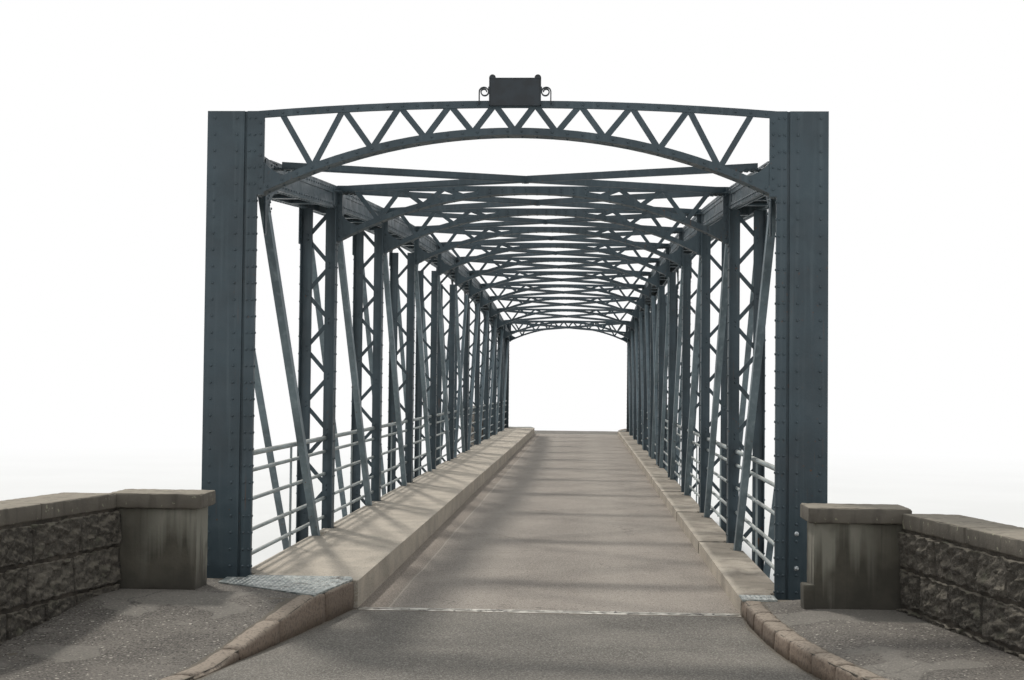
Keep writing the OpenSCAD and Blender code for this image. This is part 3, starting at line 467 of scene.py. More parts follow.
def deck_concrete(tree, place):
    # Tamped concrete of the footway and the kerb: pale warm grey with sand grain, darker water
    # stains, dirt in its pores, and hair cracks; the kerb's tops are grimy behind a pale worn
    # arris. At the gaps between its blocks a dark band is partly moss and dirt and partly painted shade, for
    # the shadow down in the gaps
    across, along = add(tree, "SeparateXYZ", {0: place}).outputs[:2]
    up = facing_up(tree)
    on_kerb = add(tree, "MapRange", {"Value": across, "From Min": KERB_X + 0.012,
                                     "From Max": KERB_X + 0.035}).outputs[0]
    kerb = add(tree, "Math", {0: across, 1: KERB_X - 0.002}, operation="GREATER_THAN").outputs[0]
    kerb_gap_moss_and_shade = line_at(tree, along, [y for y, z in inner_points()], 0.075)
    return coats(tree, place, ("concrete", 0.86), [
        ((0.10,), ("concrete", 1.10)),
        ((0.05, 5.0, 0.52, 0.74, (1, 0.35, 1)), 0.5, "#8d8577"),
        ((0.0035, 2.0, 0.42, 0.60), 0.30, "#ddd5c8"),
        ((0.0045, 1.0, 0.62, 0.70), 0.5, "#6f685c"),
        (cracks(tree, place, 0.62, 0.003, 0.42), 0.7, "#5b554b"),
        (on_kerb, up, (0.16, 5.0, 0.24, 0.58), 0.72, "#71695d"),
        (on_kerb, up, (0.045, 5.0, 0.50, 0.70), 0.5, "#504a40"),
        # the dark band at each gap between kerb blocks: moss and dirt, and painted shade of the gap
        (kerb_gap_moss_and_shade, kerb, (0.03, 4.0, 0.30, 0.50), 0.80, "#423f35"),
    ])


def roadway_surfacing(tree, place):
    # Worn bituminous surfacing of the deck: beige-grey chippings, darker and browner in the gutter
    # beside the footway, two polished wheel tracks, a mended band over each floor beam, and cracks
    across, along = add(tree, "SeparateXYZ", {0: place}).outputs[:2]
    wander = add(tree, "Math", {0: speckle(tree, place, 0.5, 2.0, 0.0, 1.0), 1: 0.03, 2: across},
                 operation="MULTIPLY_ADD").outputs[0]
    rows = [
        ((0.25, 3.0), ("roadway", 1.10)),
        ((0.06, 5.0, 0.5, 0.75, (1, 0.25, 1)), 0.4, "#756c62"),
    ]
    for track in (-0.20, 0.48):
        off = add(tree, "Math", {0: wander, 1: track}, operation="SUBTRACT").outputs[0]
        off = add(tree, "Math", {0: off}, operation="ABSOLUTE").outputs[0]
        worn = add(tree, "MapRange", {"Value": off, "From Min": 0.05, "From Max": 0.20,
                                      "To Min": 0.30, "To Max": 0.0}).outputs[0]
        rows.append((worn, "#aaa196"))
    gutter = add(tree, "MapRange", {"Value": wander, "From Min": -0.495, "From Max": -0.480,
                                    "To Min": 0.45, "To Max": 0.0}).outputs[0]
    return coats(tree, place, ("roadway", 0.84), rows + [
        (gutter, "#7b6d60"),
        ((0.0032, 2.0, 0.48, 0.60), 0.45, "#c3bbaf"),
        ((0.0045, 1.0, 0.60, 0.68), 0.55, "#4c463f"),
        (line_at(tree, along, [y for y, z in inner_points()], 0.006), 0.55, "#4f4942"),
        (line_at(tree, wander, [-0.4775], 0.008), 0.5, "#b8ad9f"),
        (cracks(tree, place, 0.55, 0.0035, 0.45), 0.75, "#443e38"),
    ])


def rendered_stone(tree, place):
    # Lime render over stone: brown-grey and damp at its foot, with a pale lime wash that runs down
    # from under the cap in ragged tongues, most of all on the half nearer the road
    across, _, height = add(tree, "SeparateXYZ", {0: place}).outputs
    tongue = speckle(tree, place, 0.022, 3.0, 0.30, 0.70, (1, 1, 0.03))
    reach = add(tree, "Math", {0: tongue, 1: -0.30, 2: ROAD + 0.36}, operation="MULTIPLY_ADD")
    over = add(tree, "Math", {0: height, 1: reach.outputs[0]}, operation="SUBTRACT").outputs[0]
    wash = add(tree, "MapRange", {"Value": over, "From Min": -0.02, "From Max": 0.13}).outputs[0]
    off = add(tree, "Math", {0: across}, operation="ABSOLUTE").outputs[0]
    inner = add(tree, "MapRange", {"Value": off, "From Min": 1.33, "From Max": 1.42,
                                   "To Min": 1.0, "To Max": 0.18}).outputs[0]
    damp = add(tree, "MapRange", {"Value": height, "From Min": ROAD + 0.06, "From Max": ROAD + 0.22,
                                  "To Min": 0.5, "To Max": 0.0}).outputs[0]
    return coats(tree, place, ("pillar", 0.72), [
        ((0.06, 5.0), ("pillar", 1.12)),
        (wash, inner, (0.10, 3.0, 0.30, 0.46), 0.78, "#949184"),
        ((0.009, 3.0, 0.58, 0.74, (1, 1, 0.04)), 0.35, "#3a3833"),
        (damp, "#393733"),
    ])


def dressed_stone(tree, place):
    # Tooled sandstone of caps and copings: each stone a little different, paler on top, partly where rain
    # washes it and partly as painted light of the sky on the tops, with soot under the edge, and grey-green
    # lichen spots
    tone = add(tree, "Attribute", attribute_name="stone").outputs["Fac"]
    return coats(tree, place, ("coping", 0.86), [
        (tone, ("coping", 1.12)),
        ((0.05, 5.0), 0.5, ("coping", 0.62)),
        # paler tops: rain-washed stone and painted light on the upward faces
        (facing_up(tree), 0.75, "#9c9383"),
        ((0.020, 4.0, 0.52, 0.70, (1, 1, 0.25)), 0.45, "#3d3a35"),
        ((0.011, 3.0, 0.64, 0.70), 0.6, "#a8a68c"),
    ])


def rock_face(tree, place):
    # Split granite: craggy, dark brown-grey, each stone its own tone, pale grains and a little moss
    tone = add(tree, "Attribute", attribute_name="stone").outputs["Fac"]
    return coats(tree, place, ("rubble", 0.62), [
        (tone, ("rubble", 1.35)),
        ((0.012, 5.0, 0.35, 0.7), ("rubble", 0.55)),
        ((0.004, 4.0, 0.55, 0.68), 0.3, "#8f877b"),
        (facing_up(tree, 0.1, 0.8), 0.5, "#8d8575"),
        ((0.05, 5.0, 0.58, 0.70), facing_up(tree, -0.2, 0.6), 0.5, "#4f5540"),
    ])


def wall_and_footing(tree, place):
    # Mortar behind the rock faces, and the footing course of long dressed blocks, whose joints are
    # drawn on a plane that runs round the corners: the sum of both level directions, and the height
    across, along, height = add(tree, "SeparateXYZ", {0: place}).outputs
    run = add(tree, "Math", {0: across, 1: along}, operation="ADD").outputs[0]
    flat = add(tree, "CombineXYZ", {0: run, 1: height}).outputs[0]
    footing = add(tree, "TexBrick", {
        "Vector": flat, "Scale": 1.0, "Mortar Size": 0.005, "Brick Width": 0.46, "Row Height": FOOTING_H,
        "Color1": rgba("#5d564d"), "Color2": rgba("#767066"), "Mortar": rgba("#35312c")})
    low = add(tree, "Math", {0: height, 1: FOOTING_H + 0.004}, operation="LESS_THAN").outputs[0]
    return coats(tree, place, "#3a352f", [
        ((0.03, 5.0), "#5a534a"),
        (low, footing.outputs["Color"]),
        ((0.025, 5.0, 0.45, 0.7), 0.45, "#3a362f"),
        (facing_up(tree), 0.5, "#837b6d"),
    ])


def footpath_asphalt(tree, place):
    # Hand-laid asphalt beside the road: coarser and browner than the carriageway, with a few
    # smooth grey patches, scattered pale chippings, dirt, and cracks
    return coats(tree, place, ("footpath", 0.78), [
        ((0.12, 4.0), ("footpath", 1.18)),
        ((0.0040, 2.0, 0.50, 0.62), 0.5, "#9b948a"),
        ((0.0050, 1.0, 0.58, 0.66), 0.7, "#2f2c29"),
        ((0.006, 0.0, 0.76, 0.78), "#bcb5a9"),
        ((0.28, 3.0, 0.575, 0.585), 0.55, "#8a857c"),
        (cracks(tree, place, 0.40, 0.004, 0.40), 0.7, "#2b2926"),
    ])


def rolled_asphalt(tree, place):
    # Rolled asphalt of the carriageway: dark binder worn off pale chippings about 4 mm across, in
    # broad worn patches, with long cracks
    return coats(tree, place, ("asphalt", 0.78), [
        ((0.20, 3.0), ("asphalt", 1.12)),
        ((0.0030, 2.0, 0.50, 0.60), 0.55, "#a5a198"),
        ((0.0042, 1.0, 0.60, 0.68), 0.6, "#3b3b39"),
        (cracks(tree, place, 0.70, 0.004, 0.40), 0.6, "#33312e"),
    ])


def kerb_granite(tree, place):
    # Hammered granite kerb stones: brown-grey, with their tops painted paler, which is painted light of the
    # sky and sun on them
    tone = add(tree, "Attribute", attribute_name="stone").outputs["Fac"]
    return coats(tree, place, ("kerb", 0.72), [
        (tone, ("kerb", 1.20)),
        # painted light: the tops paler than the faces
        (facing_up(tree, 0.2, 0.9), 0.58, "#ab9f8f"),
        ((0.006, 4.0, 0.5, 0.65), 0.5, "#4c4138"),
    ])


def zinc_bolt(tree, place):
    # Galvanised bolt heads: pale, slightly mottled zinc
    return coats(tree, place, "#aab0b2", [((0.003,), "#d3d7d8")])


# What the brushed paints share, and the reliefs of tooled stone and of rolled metal
BRUSHED = ((0.40, 0.62), 0.0, (0.004, 2.0, 0.3, 0.7), 0.0004, 0.5)
TOOLED = (0.006, 6.0, 0.2, 0.8)
ROLLED = (0.003, 2.0, 0.3, 0.7)
# For each finish: its maker and the colours that it is given, its roughness, or two values between
# which it varies, its metallic share, and its relief: the settings of a speckle, then its depth in
# metres and its strength
FINISHES = {
    "bridge_paint": (alkyd_paint, ("paint", "paint_faded"), *BRUSHED),
    # The diagonals' finish is a paler copy of the bridge paint, which is painted light
    "chalked_paint": (alkyd_paint, ("diagonal", "#9fabae"), *BRUSHED),
    # The rails' finish is partly a paler paint and partly painted light of the sun on them
    "rail_paint": (alkyd_paint, ("rail", "#c3c2b8"), *BRUSHED),
    "board_enamel": (enamelled_iron, (), 0.34, 0.0, ROLLED, 0.0003, 0.4),
    "bearing_cast_iron": (cast_iron, (), 0.8, 0.0, (0.004, 4.0, 0.3, 0.7), 0.001, 0.6),
    "worn_steel_plate": (worn_steel, ("#838a88", "#b9beba"), 0.45, 0.55, ROLLED, 0.0005, 0.6),
    "worn_tread_steel": (worn_steel, ("#b4b7b4", "#e4e4de"), 0.36, 0.6, ROLLED, 0.0005, 0.6),
    "tamped_concrete": (deck_concrete, (), 0.88, 0.0, (0.004, 5.0, 0.25, 0.75), 0.0015, 0.6),
    "roadway_surfacing": (roadway_surfacing, (), 0.86, 0.0, (0.0036, 4.0, 0.3, 0.7), 0.002, 0.7),
    "lime_rendered_stone": (rendered_stone, (), 0.9, 0.0, TOOLED, 0.002, 0.6),
    "dressed_sandstone": (dressed_stone, (), 0.9, 0.0, TOOLED, 0.002, 0.6),
    "split_granite": (rock_face, (), 0.85, 0.0, (0.008, 8.0, 0.2, 0.8), 0.007, 1.0),
    "mortared_wall": (wall_and_footing, (), 0.92, 0.0, (0.004, 6.0, 0.2, 0.8), 0.003, 0.6),
    "rolled_asphalt": (rolled_asphalt, (), 0.9, 0.0, (0.0032, 3.0, 0.3, 0.7), 0.002, 0.8),
    "footpath_asphalt": (footpath_asphalt, (), 0.92, 0.0, (0.0042, 3.0, 0.3, 0.7), 0.003, 0.9),
    "hammered_granite": (kerb_granite, (), 0.85, 0.0, TOOLED, 0.003, 0.8),
    "galvanised_bolt": (zinc_bolt, (), 0.5, 0.7, None, 0.0, 0.0),
}
MADE = {}


def finish(name):
    """A material by its name, made once from its row in FINISHES."""
    if name not in MADE:
        maker, tones, roughness, metallic, relief, depth, strength = FINISHES[name]
        material, tree, shader, place = begin(name, np.mean(roughness), metallic)
        tree.links.new(maker(tree, place, *tones), shader.inputs["Base Color"])
        if isinstance(roughness, tuple):
            low, high = roughness
            uneven = add(tree, "MapRange", {"Value": speckle(tree, place, 0.05), "To Min": low,
                                            "To Max": high})
            tree.links.new(uneven.outputs[0], shader.inputs["Roughness"])
        if relief:
            bump = add(tree, "Bump", {"Height": speckle(tree, place, *relief),
                                      "Distance": depth, "Strength": strength})
            tree.links.new(bump.outputs[0], shader.inputs["Normal"])
        MADE[name] = material
    return MADE[name]


# The finish of each material slot of the record, and of nodes that differ from their slot
NODE_FINISH = {
    "bridge_paint": "bridge_paint", "black_iron": "board_enamel", "bearing_iron": "bearing_cast_iron",
    "worn_plate": "worn_steel_plate", "deck_concrete": "tamped_concrete",
    "pillar_stone": "lime_rendered_stone", "coping_stone": "dressed_sandstone",
    "rubble_masonry": "mortared_wall",
    # the diagonals get a paler copy of the paint, which is painted light
    "left_diagonals": "chalked_paint", "right_diagonals": "chalked_paint",
    # the rails get a paler paint, partly painted light
    "left_railing": "rail_paint", "right_railing": "rail_paint", "roadway_slab": "roadway_surfacing",
}


class BRIDGE_OT_finishes(bpy.types.Operator):
    """Gives every node of the frame the material of its slot"""

    bl_idname = "bridge.finishes"
    bl_label = "Frame finishes"

    def execute(self, context):
        for row in frame["record"]["subparts"]:
            materials = frame["nodes"][row["node"]].data.materials
            materials.clear()
            materials.append(finish(NODE_FINISH.get(row["node"]) or NODE_FINISH[row["material_slot"]]))
        return {"FINISHED"}


# Rivets and angles

def gusset_spans():
    """Start and end along the bridge of the gusset at each panel point."""
    y = point_y(np.arange(1, PANELS))
    start = y - np.where(y < 0, GUSSET_SHORT, GUSSET_LONG)
    end = y + np.where(y < 0, GUSSET_LONG, GUSSET_SHORT)
    edge = HALF_SPAN - END_POST_D / 2
    start = np.concatenate([[-edge], start, [HALF_SPAN - GUSSET_LONG]])
    end = np.concatenate([[GUSSET_LONG - HALF_SPAN], end, [edge]])
    return start, end


def in_gusset(y, margin):
    """True where a place along the bridge lies on a gusset, or within a margin of one."""
    start, end = gusset_spans()
    return ((y[:, None] > start - margin) & (y[:, None] < end + margin)).any(axis=1)


def row_at(x, y, z, normal):
    """One row of rivets: its points, and its direction for all of them."""
    points = np.stack(np.broadcast_arrays(x, y, z), axis=-1).astype(float).reshape(-1, 3)
    return points, np.asarray(normal, float)


def both_faces(x, y, z):
    """The same row on the left and on the right face of a member."""
    return [row_at(sx * x, y, z, (sx, 0, 0)) for sx in (-1, 1)]


def both_trusses(rows):
    """The rows of one truss, on the left and on the right truss."""
    return [on_truss(p, n, side) for p, n in rows for side in (-1, 1)]


def chord_rows():
    """Rows along the webs, the covers and the undersides of the chords. The crown of the top chord
    is the object's top, and its rivets are countersunk."""
    s = sizes()
    edge = HALF_SPAN - END_POST_D / 2 - 0.012
    y = spaced(-edge, edge, s.chord_pitch)
    z = chord_z(y)
    face = np.where(in_gusset(y, 0.004), GUSSET_FACE, HALF_MEMBER + s.angle_t)
    proud = ROAD + z + s.rivet_h < LOADED_BOX[1][2]
    levels = (z - s.angle_leg * 0.62, z - CHORD_H + s.angle_leg / 2,
              BEAM_BOTTOM + s.angle_leg / 2, CHORD_TOP - s.angle_leg / 2)
    rows = [row for level in levels for row in both_faces(face, y, level)]
    for sx in (-1, 1):
        rows += [row_at(sx * COVER_ROW, y[proud], z[proud], (0, 0, 1)),
                 row_at(sx * FLANGE_ROW, y, z - CHORD_H, (0, 0, -1)),
                 row_at(sx * FLANGE_ROW, y, CHORD_TOP, (0, 0, 1))]
    return rows


def diagonals():
    """Upper and lower end of the line of each diagonal, along the bridge and over the road."""
    middle = (PANELS - 1) // 2
    lines = []
    for i in range(middle + 1):
        for a, b in ((i, i + 1), (PANELS - i, PANELS - i - 1)):
            lines.append((np.array([float(point_y(a)), float(chord_point_z(a)) - CHORD_H / 2]),
                          np.array([float(point_y(b)), BEAM_BOTTOM + BOTTOM_CHORD_H / 2])))
    return lines


def gusset_rows():
    """Two columns up each gusset for its post, and two rows along each end of a diagonal."""
    rows = []
    for y, top in inner_points():
        for a, b in ((top - CHORD_H - 0.022, top - GUSSET_H),
                     (CHORD_TOP + 0.022, BEAM_BOTTOM + GUSSET_H)):
            for dy in (-POST_ROW, POST_ROW):
                rows += both_faces(GUSSET_FACE, y + dy, spaced(a, b, 0.045))
    along = np.arange(0.095, 0.200, 0.034)[:, None]
    for top, foot in diagonals():
        way = (foot - top) / np.linalg.norm(foot - top)
        up = np.array([-way[1], way[0]]) * np.sign(way[0])
        for start, direction in ((top, way), (foot, -way)):
            for offset in (-0.012, 0.011):
                p = start + along * direction + offset * up
                rows += both_faces(GUSSET_FACE, p[:, 0], p[:, 1])
    return rows


def post_rows():
    """Two columns on the outer face of each leg of a post, and two rivets at each end of its
    lacing bars, which meet the left and the right leg in turn."""
    rows = []
    for y, top in inner_points():
        z = spaced(BEAM_BOTTOM + GUSSET_H + 0.050, top - GUSSET_H - 0.050, sizes().post_pitch * 1.4)
        for dy in (-POST_ROW, POST_ROW):
            rows += both_faces(HALF_MEMBER, y + dy, z)
        clear = top - CHORD_H - CHORD_TOP
        bars = int(round(clear / LACE_PITCH))
        for k in range(1, bars):
            node = CHORD_TOP + 0.011 + k * (clear - 0.022) / bars + np.array([-0.013, 0.013])
            x = 0.060 if k % 2 == 0 else -0.060
            rows += [row_at(x, y + sy * 0.009, node, (0, sy, 0)) for sy in (-1, 1)]
    return rows


def end_post_rows():
    """Columns down the faces of an end post's box and of the slim strip beside its groove, some
    only at the joints with the chords, and on its inner side clear of the portal's corner plate."""
    d = END_POST_D / 2
    z = spaced(BEAM_BOTTOM + 0.03, END_POST_Z - 0.03, sizes().post_pitch)
    top = float(chord_z(HALF_SPAN - d))
    at_joint = z[(z < BEAM_BOTTOM + 0.32) | ((z > top - CHORD_H + 0.015) & (z < top - 0.015))]
    inner = z[(z > BEAM_BOTTOM + 0.34) & ((z < PORTAL_PLATE[0]) | (z > PORTAL_PLATE[1]))]
    rows = []
    for far in (-1, 1):
        y = far * HALF_SPAN
        rows += [row_at(x, y + far * d, z, (0, far, 0)) for x in (-0.083, 0.012, 0.067, 0.090)]
        rows += [row_at(x, y - far * d, level, (0, -far, 0))
                 for x, level in ((-0.083, z), (0.012, z), (0.050, at_joint), (0.083, at_joint))]
        rows += [row_at(-HALF_MEMBER, y + dy, z, (-1, 0, 0)) for dy in (0.020 - d, -0.030, 0.030, d - 0.020)]
        rows += [row_at(BOX_OUT, y + dy, inner, (1, 0, 0)) for dy in (-0.030, 0.030)]
        rows += [row_at(HALF_MEMBER, y + far * (d - 0.0125), z, (1, 0, 0)),
                 row_at(HALF_MEMBER, y - far * (d - 0.020), at_joint, (1, 0, 0))]
    return rows


def frame_rows(half, top_end, top_rise, spring, crown, flange, y):
    """Rivets of one lattice frame: a row along both bands and up its ends on either face of the
    web, and a row under the flange of the arch."""
    along = spaced(0.03, half - 0.045, 0.066)
    low = spring + arc_z(half, crown - spring, along) + BAND / 2
    high = top_end - BAND / 2 + (arc_z(half, top_rise, along) if top_rise > 0 else 0 * along)
    post = spaced(spring + 0.03, top_end - 0.05, 0.05)
    rows = []
    for face, sy in ((0, -1), (WEB_T, 1)):
        for sx in (-1, 1):
            rows += [row_at(sx * x, y + face, ROAD + z, (0, sy, 0))
                     for x, z in ((along, low), (along, high), (half - BAND / 2, post))]
    return rows + [row_at(sx * along, y + flange * 0.62, ROAD + low - BAND / 2, (0, 0, -1)) for sx in (-1, 1)]


class BRIDGE_OT_rivets(bpy.types.Operator):
    """Rivets of the chords, the gussets, the posts, the end posts, the portals and the cross frames"""

    bl_idname = "bridge.rivets"
    bl_label = "Rivets"

    def execute(self, context):
        chords = both_trusses(chord_rows())
        rivets("rivets_left_chords", chords[0::2])
        rivets("rivets_right_chords", chords[1::2])
        rivets("rivets_gussets", both_trusses(gusset_rows()))
        rivets("rivets_posts", both_trusses(post_rows()))
        rivets("rivets_end_posts", both_trusses(end_post_rows()))
        near = frame_rows(CLEAR_HALF, END_POST_Z, PORTAL_RISE, PORTAL_SPRING, PORTAL_CROWN, PORTAL_FLANGE,
                          -SPAN_END)
        rows = near + [(p * (1, -1, 1), n * (1, -1, 1)) for p, n in near]
        for y, top in inner_points():
            rows += frame_rows(FRAME_HALF, top, 0, top - FRAME_SPRING, top - FRAME_CROWN, FRAME_FLANGE,
                               y - FRAME_FLANGE / 2)
        rivets("rivets_frames", rows)
        return {"FINISHED"}


def brace_bars():
    """The crossed bars of the top bracing: for each bar its start and direction in the sloped plane
    of its bay, its length, and the bay's corner and slope."""
    bars = []
    for i in range(PANELS):
        rise = float(chord_point_z(i + 1) - chord_point_z(i))
        y0 = BRACE_END + (END_POST_D / 2 if i == 0 else 0)
        y1 = np.hypot(PANEL_L, rise) - BRACE_END - (END_POST_D / 2 if i == PANELS - 1 else 0)
        base = np.array([0, float(point_y(i)), ROAD + float(chord_point_z(i)) - BRACE_DROP])
        for a, b in ((y0, y1), (y1, y0)):
            run = np.array([2 * FRAME_HALF, b - a])
            span = np.linalg.norm(run)
            bars.append((np.array([-FRAME_HALF, a]), run / span, span, base, np.arctan2(rise, PANEL_L)))
    return bars


def on_bay(flat, height, base, slope):
    """Points of a bay's sloped plane, lifted square to it, as places on the bridge."""
    flat = np.atleast_2d(flat)
    y = flat[:, 1] * np.cos(slope) - height * np.sin(slope)
    z = flat[:, 1] * np.sin(slope) + height * np.cos(slope)
    return base + np.stack([flat[:, 0], y, z], axis=-1)


class BRIDGE_OT_brace_legs(bpy.types.Operator):
    """Upright legs of the angles of the top bracing, with their rivets. One angle of each crossed
    pair runs through, and the legs of the other stop short of it"""

    bl_idname = "bridge.brace_legs"
    bl_label = "Top bracing angles"

    def execute(self, context):
        leg = sizes().brace_leg
        near, thick, foot, cut = -BRACE_W / 2, 0.004, 0.003, 0.036
        section = ((near, foot), (near + thick, foot), (near + thick, leg), (near, leg))
        corners, rows = [], []
        for k, (start, way, span, base, slope) in enumerate(brace_bars()):
            side = np.array([-way[1], way[0]])
            gap = 0.020 if k % 2 else 0.0
            for s in (cut, span / 2 - gap, span / 2 + gap, span - cut):
                corners += [on_bay(start + s * way + off * side, z, base, slope)[0] for off, z in section]
            along = np.concatenate([np.arange(0.045, 0.15, 0.028), span / 2 + np.array([-0.010, 0.010])])
            along = np.unique(np.round(np.concatenate([along, span - along]), 6))[:, None]
            down = np.array([0, np.sin(slope), -np.cos(slope)])
            for off in (-0.008, 0.008):
                rows.append((on_bay(start + along * way + off * side, 0.0, base, slope), down))
        boxes("top_bracing_legs", np.array(corners), "bridge_paint")
        rivets("rivets_top_bracing", rows)
        return {"FINISHED"}


class BRIDGE_OT_chord_angles(bpy.types.Operator):
    """Upright legs of the chord angles, which stand out from the webs between the gussets"""

    bl_idname = "bridge.chord_angles"
    bl_label = "Chord angles"

    def execute(self, context):
        s = sizes()
        leg, cover, sunk, clear = s.angle_leg, 0.008, 0.001, 0.002
        start, end = gusset_spans()
        corners = []
        for y in zip(end[:-1] + clear, start[1:] - clear):
            top = [float(chord_z(place)) for place in y]
            lows = ([z - cover - leg for z in top], [z - CHORD_H for z in top],
                    [BEAM_BOTTOM] * 2, [CHORD_TOP - leg] * 2)
            for sx in (-1, 1):
                x0, x1 = sx * (HALF_MEMBER - sunk), sx * (HALF_MEMBER + s.angle_t)
                corners += [(x, place, z + up) for low in lows for place, z in zip(y, low)
                            for x, up in ((x0, 0), (x1, 0), (x1, leg), (x0, leg))]
        corners = np.array(corners)
        placed = [on_truss(corners, corners, side)[0] for side in (-1, 1)]
        boxes("chord_angle_legs", np.concatenate(placed), "bridge_paint")
        return {"FINISHED"}


# Masonry

def turned(wall, flip_x, flip_y):
    """The same wall mirrored to the other side or to the other end, still as seen from outside."""
    p, q, low, high, before, after = wall
    p, q = ((x * flip_x, y * flip_y) for x, y in (q, p))
    return p, q, low, high, after, before


def walls():
    """Walls of the near abutment: left and right end as seen from outside, lower and upper
    level, and how far the stones run past each end. The right and left parts mirror each other
    but for their heights, and the right has the end face of its raised strip, which on the left
    ramps down to the road."""
    far_x = WING_OUT + WING_SHIFT
    out, inward = sizes().stone_out, sizes().parapet_out * 0.75
    foot = ROAD - 0.020
    rows = [
        ((WING_OUT, -SHELF_Y), (-WING_OUT, -SHELF_Y), FOOTING_H, SHELF_Z, out, out),
        ((BACK_WALL_HALF, -BACK_WALL), (-BACK_WALL_HALF, -BACK_WALL), SHELF_Z, BACK_WALL_TOP, 0, 0),
        ((-far_x, -ABUTMENT_END), (far_x, -ABUTMENT_END), FOOTING_H, foot, out, out),
    ]
    for side in (1, -1):
        top = ROAD + COPING_BOTTOM[side] - 0.004
        parts = [
            ((WING_OUT, -BACK_WALL), (WING_OUT, -SHELF_Y), FOOTING_H, SHELF_Z, 0, out),
            ((WING_OUT, -PILLAR_REAR), (WING_OUT, -BACK_WALL), FOOTING_H, ROAD + STRIP_H[side] - 0.010, 0, 0),
            ((far_x, -ABUTMENT_END), (WING_OUT, -PILLAR_REAR), FOOTING_H, top, out, 0),
            ((far_x - WING_W, -ABUTMENT_END), (far_x, -ABUTMENT_END), foot, top, inward, out),
        ]
        if side > 0:
            inner = flare_x(side, ABUTMENT_L) + 0.012
            parts.append(((inner, -ABUTMENT_END), (far_x - WING_W - inward, -ABUTMENT_END), foot + 0.002,
                          ROAD + KERB_H - 0.004, 0, 0))
        rows += parts if side > 0 else [turned(wall, -1, 1) for wall in parts]
    return rows


def parapet_faces():
    """Inner faces of the near wing parapets, in the same form as the walls: three courses, of
    which the lowest stands partly under the strips beside the road."""
    rows = []
    for side in (1, -1):
        top = ROAD + COPING_BOTTOM[side] - 0.004
        wall = ((WING_IN, -PILLAR_REAR), (WING_IN + WING_SHIFT, -ABUTMENT_END),
                top - 3 * sizes().parapet_course, top, 0, 0)
        rows.append(wall if side > 0 else turned(wall, -1, 1))
    return rows


def bond(wall, rng, length, height):
    """Rectangles of the stones in a wall: courses of equal height, stones of random length."""
    p, q, low, high, before, after = wall
    run = np.hypot(q[0] - p[0], q[1] - p[1]) + before + after
    courses = max(1, int(round((high - low) / height)))
    levels = np.linspace(low, high, courses + 1)
    cells = []
    for k in range(courses):
        count = max(1, int(round(run / length)))
        widths = rng.uniform(0.65, 1.35, count)
        ends = np.concatenate([[0], np.cumsum(widths) / widths.sum()]) * run - before
        cells += [(ends[c], ends[c + 1], levels[k], levels[k + 1]) for c in range(count)]
    return np.array(cells)


def stones(name, wall_list, grid, seed, length, course, stand, craggy):
    """Rock-faced stones on walls. Each stone is a grid over its rectangle, and its rim lies in the
    wall. Inside the rim the face stands out by a flattened dome (a low power of the distance to
    the edges) that leans a little, plus smooth noise and the ridges that a pitching chisel
    leaves, which are finer and sharper on craggy stones."""
    rng = np.random.default_rng(seed)
    nu, nv = grid
    a = np.concatenate([[0], np.linspace(0, 1, nu), [1]])[:, None]
    b = np.concatenate([[0], np.linspace(0, 1, nv), [1]])[None, :]
    edge = np.minimum(4 * a * (1 - a), 1) * np.minimum(4 * b * (1 - b), 1)
    joint, loose = (0.85, 1.9) if craggy else (0.5, 1.0)
    points, tones = [], []
    for wall in wall_list:
        p, q = np.array(wall[0]), np.array(wall[1])
        along = (q - p) / np.linalg.norm(q - p)
        out = np.array([along[1], -along[0]])
        cells = bond(wall, rng, length, course)
        one_each = (len(cells), 1, 1)
        u0, u1, v0, v1 = (cells[:, k][:, None, None] for k in range(4))
        half = sizes().mortar_w * joint + rng.uniform(0, 0.002, one_each)
        u = u0 + half + a * (u1 - u0 - 2 * half) + 0 * b
        v = v0 + half + b * (v1 - v0 - 2 * half) + 0 * a
        flat = np.stack([p[0] + along[0] * u, p[1] + along[1] * u, v], axis=-1)
        u = u + ripple(flat, 0.05, seed + 1) * 0.0022 * loose
        v = v + ripple(flat, 0.04, seed + 2) * 0.0018 * loose
        crag = ripple(flat, 0.07, seed + 3) * 0.33 + ripple(flat, 0.03, seed + 4) * 0.18
        crag = crag + ripple(flat, 0.09, seed + 5, 6, True)
        if craggy:
            crag = crag + 0.6 * ripple(flat, 0.04, seed + 6, 6, True)
            crag = crag + 0.45 * ripple(flat, 0.018, seed + 7, 6, True)
        size = rng.uniform(0.75, 1.0, one_each)
        lean = rng.uniform(-0.35, 0.35, (2, *one_each))
        lift = 0.42 + 0.24 * edge ** 0.3 * size + 0.20 * crag * edge ** 0.15
        lift = lift + (a - 0.5) * lean[0] + (b - 0.5) * lean[1]
        lift = np.where(on_rim(edge.shape), -0.003, stand * np.clip(lift, 0.16, 1.0))
        xy = p + along * u[..., None] + out * lift[..., None]
        points.append(np.concatenate([xy, v[..., None]], axis=-1))
        tones.append(np.repeat(rng.uniform(0, 1, len(cells)), edge.size))
    points = np.concatenate(points)
    obj = piece(name, points, [grid_faces(nu + 2, nv + 2, len(points))], "split_granite",
                smooth=True)
    give_tones(obj, np.concatenate(tones))


class BRIDGE_OT_abutment_stones(bpy.types.Operator):
    """Rock-faced stones on the walls of both abutments"""

    bl_idname = "bridge.abutment_stones"
    bl_label = "Abutment stones"

    def execute(self, context):
        s = sizes()
        look = (s.stone_l, s.course_h, s.stone_out, False)
        near = walls()
        stones("stones_near_abutment", near, (9, 5), s.seed, *look)
        stones("stones_far_abutment", [turned(w, 1, -1) for w in near], (9, 5), s.seed + 10, *look)
        return {"FINISHED"}


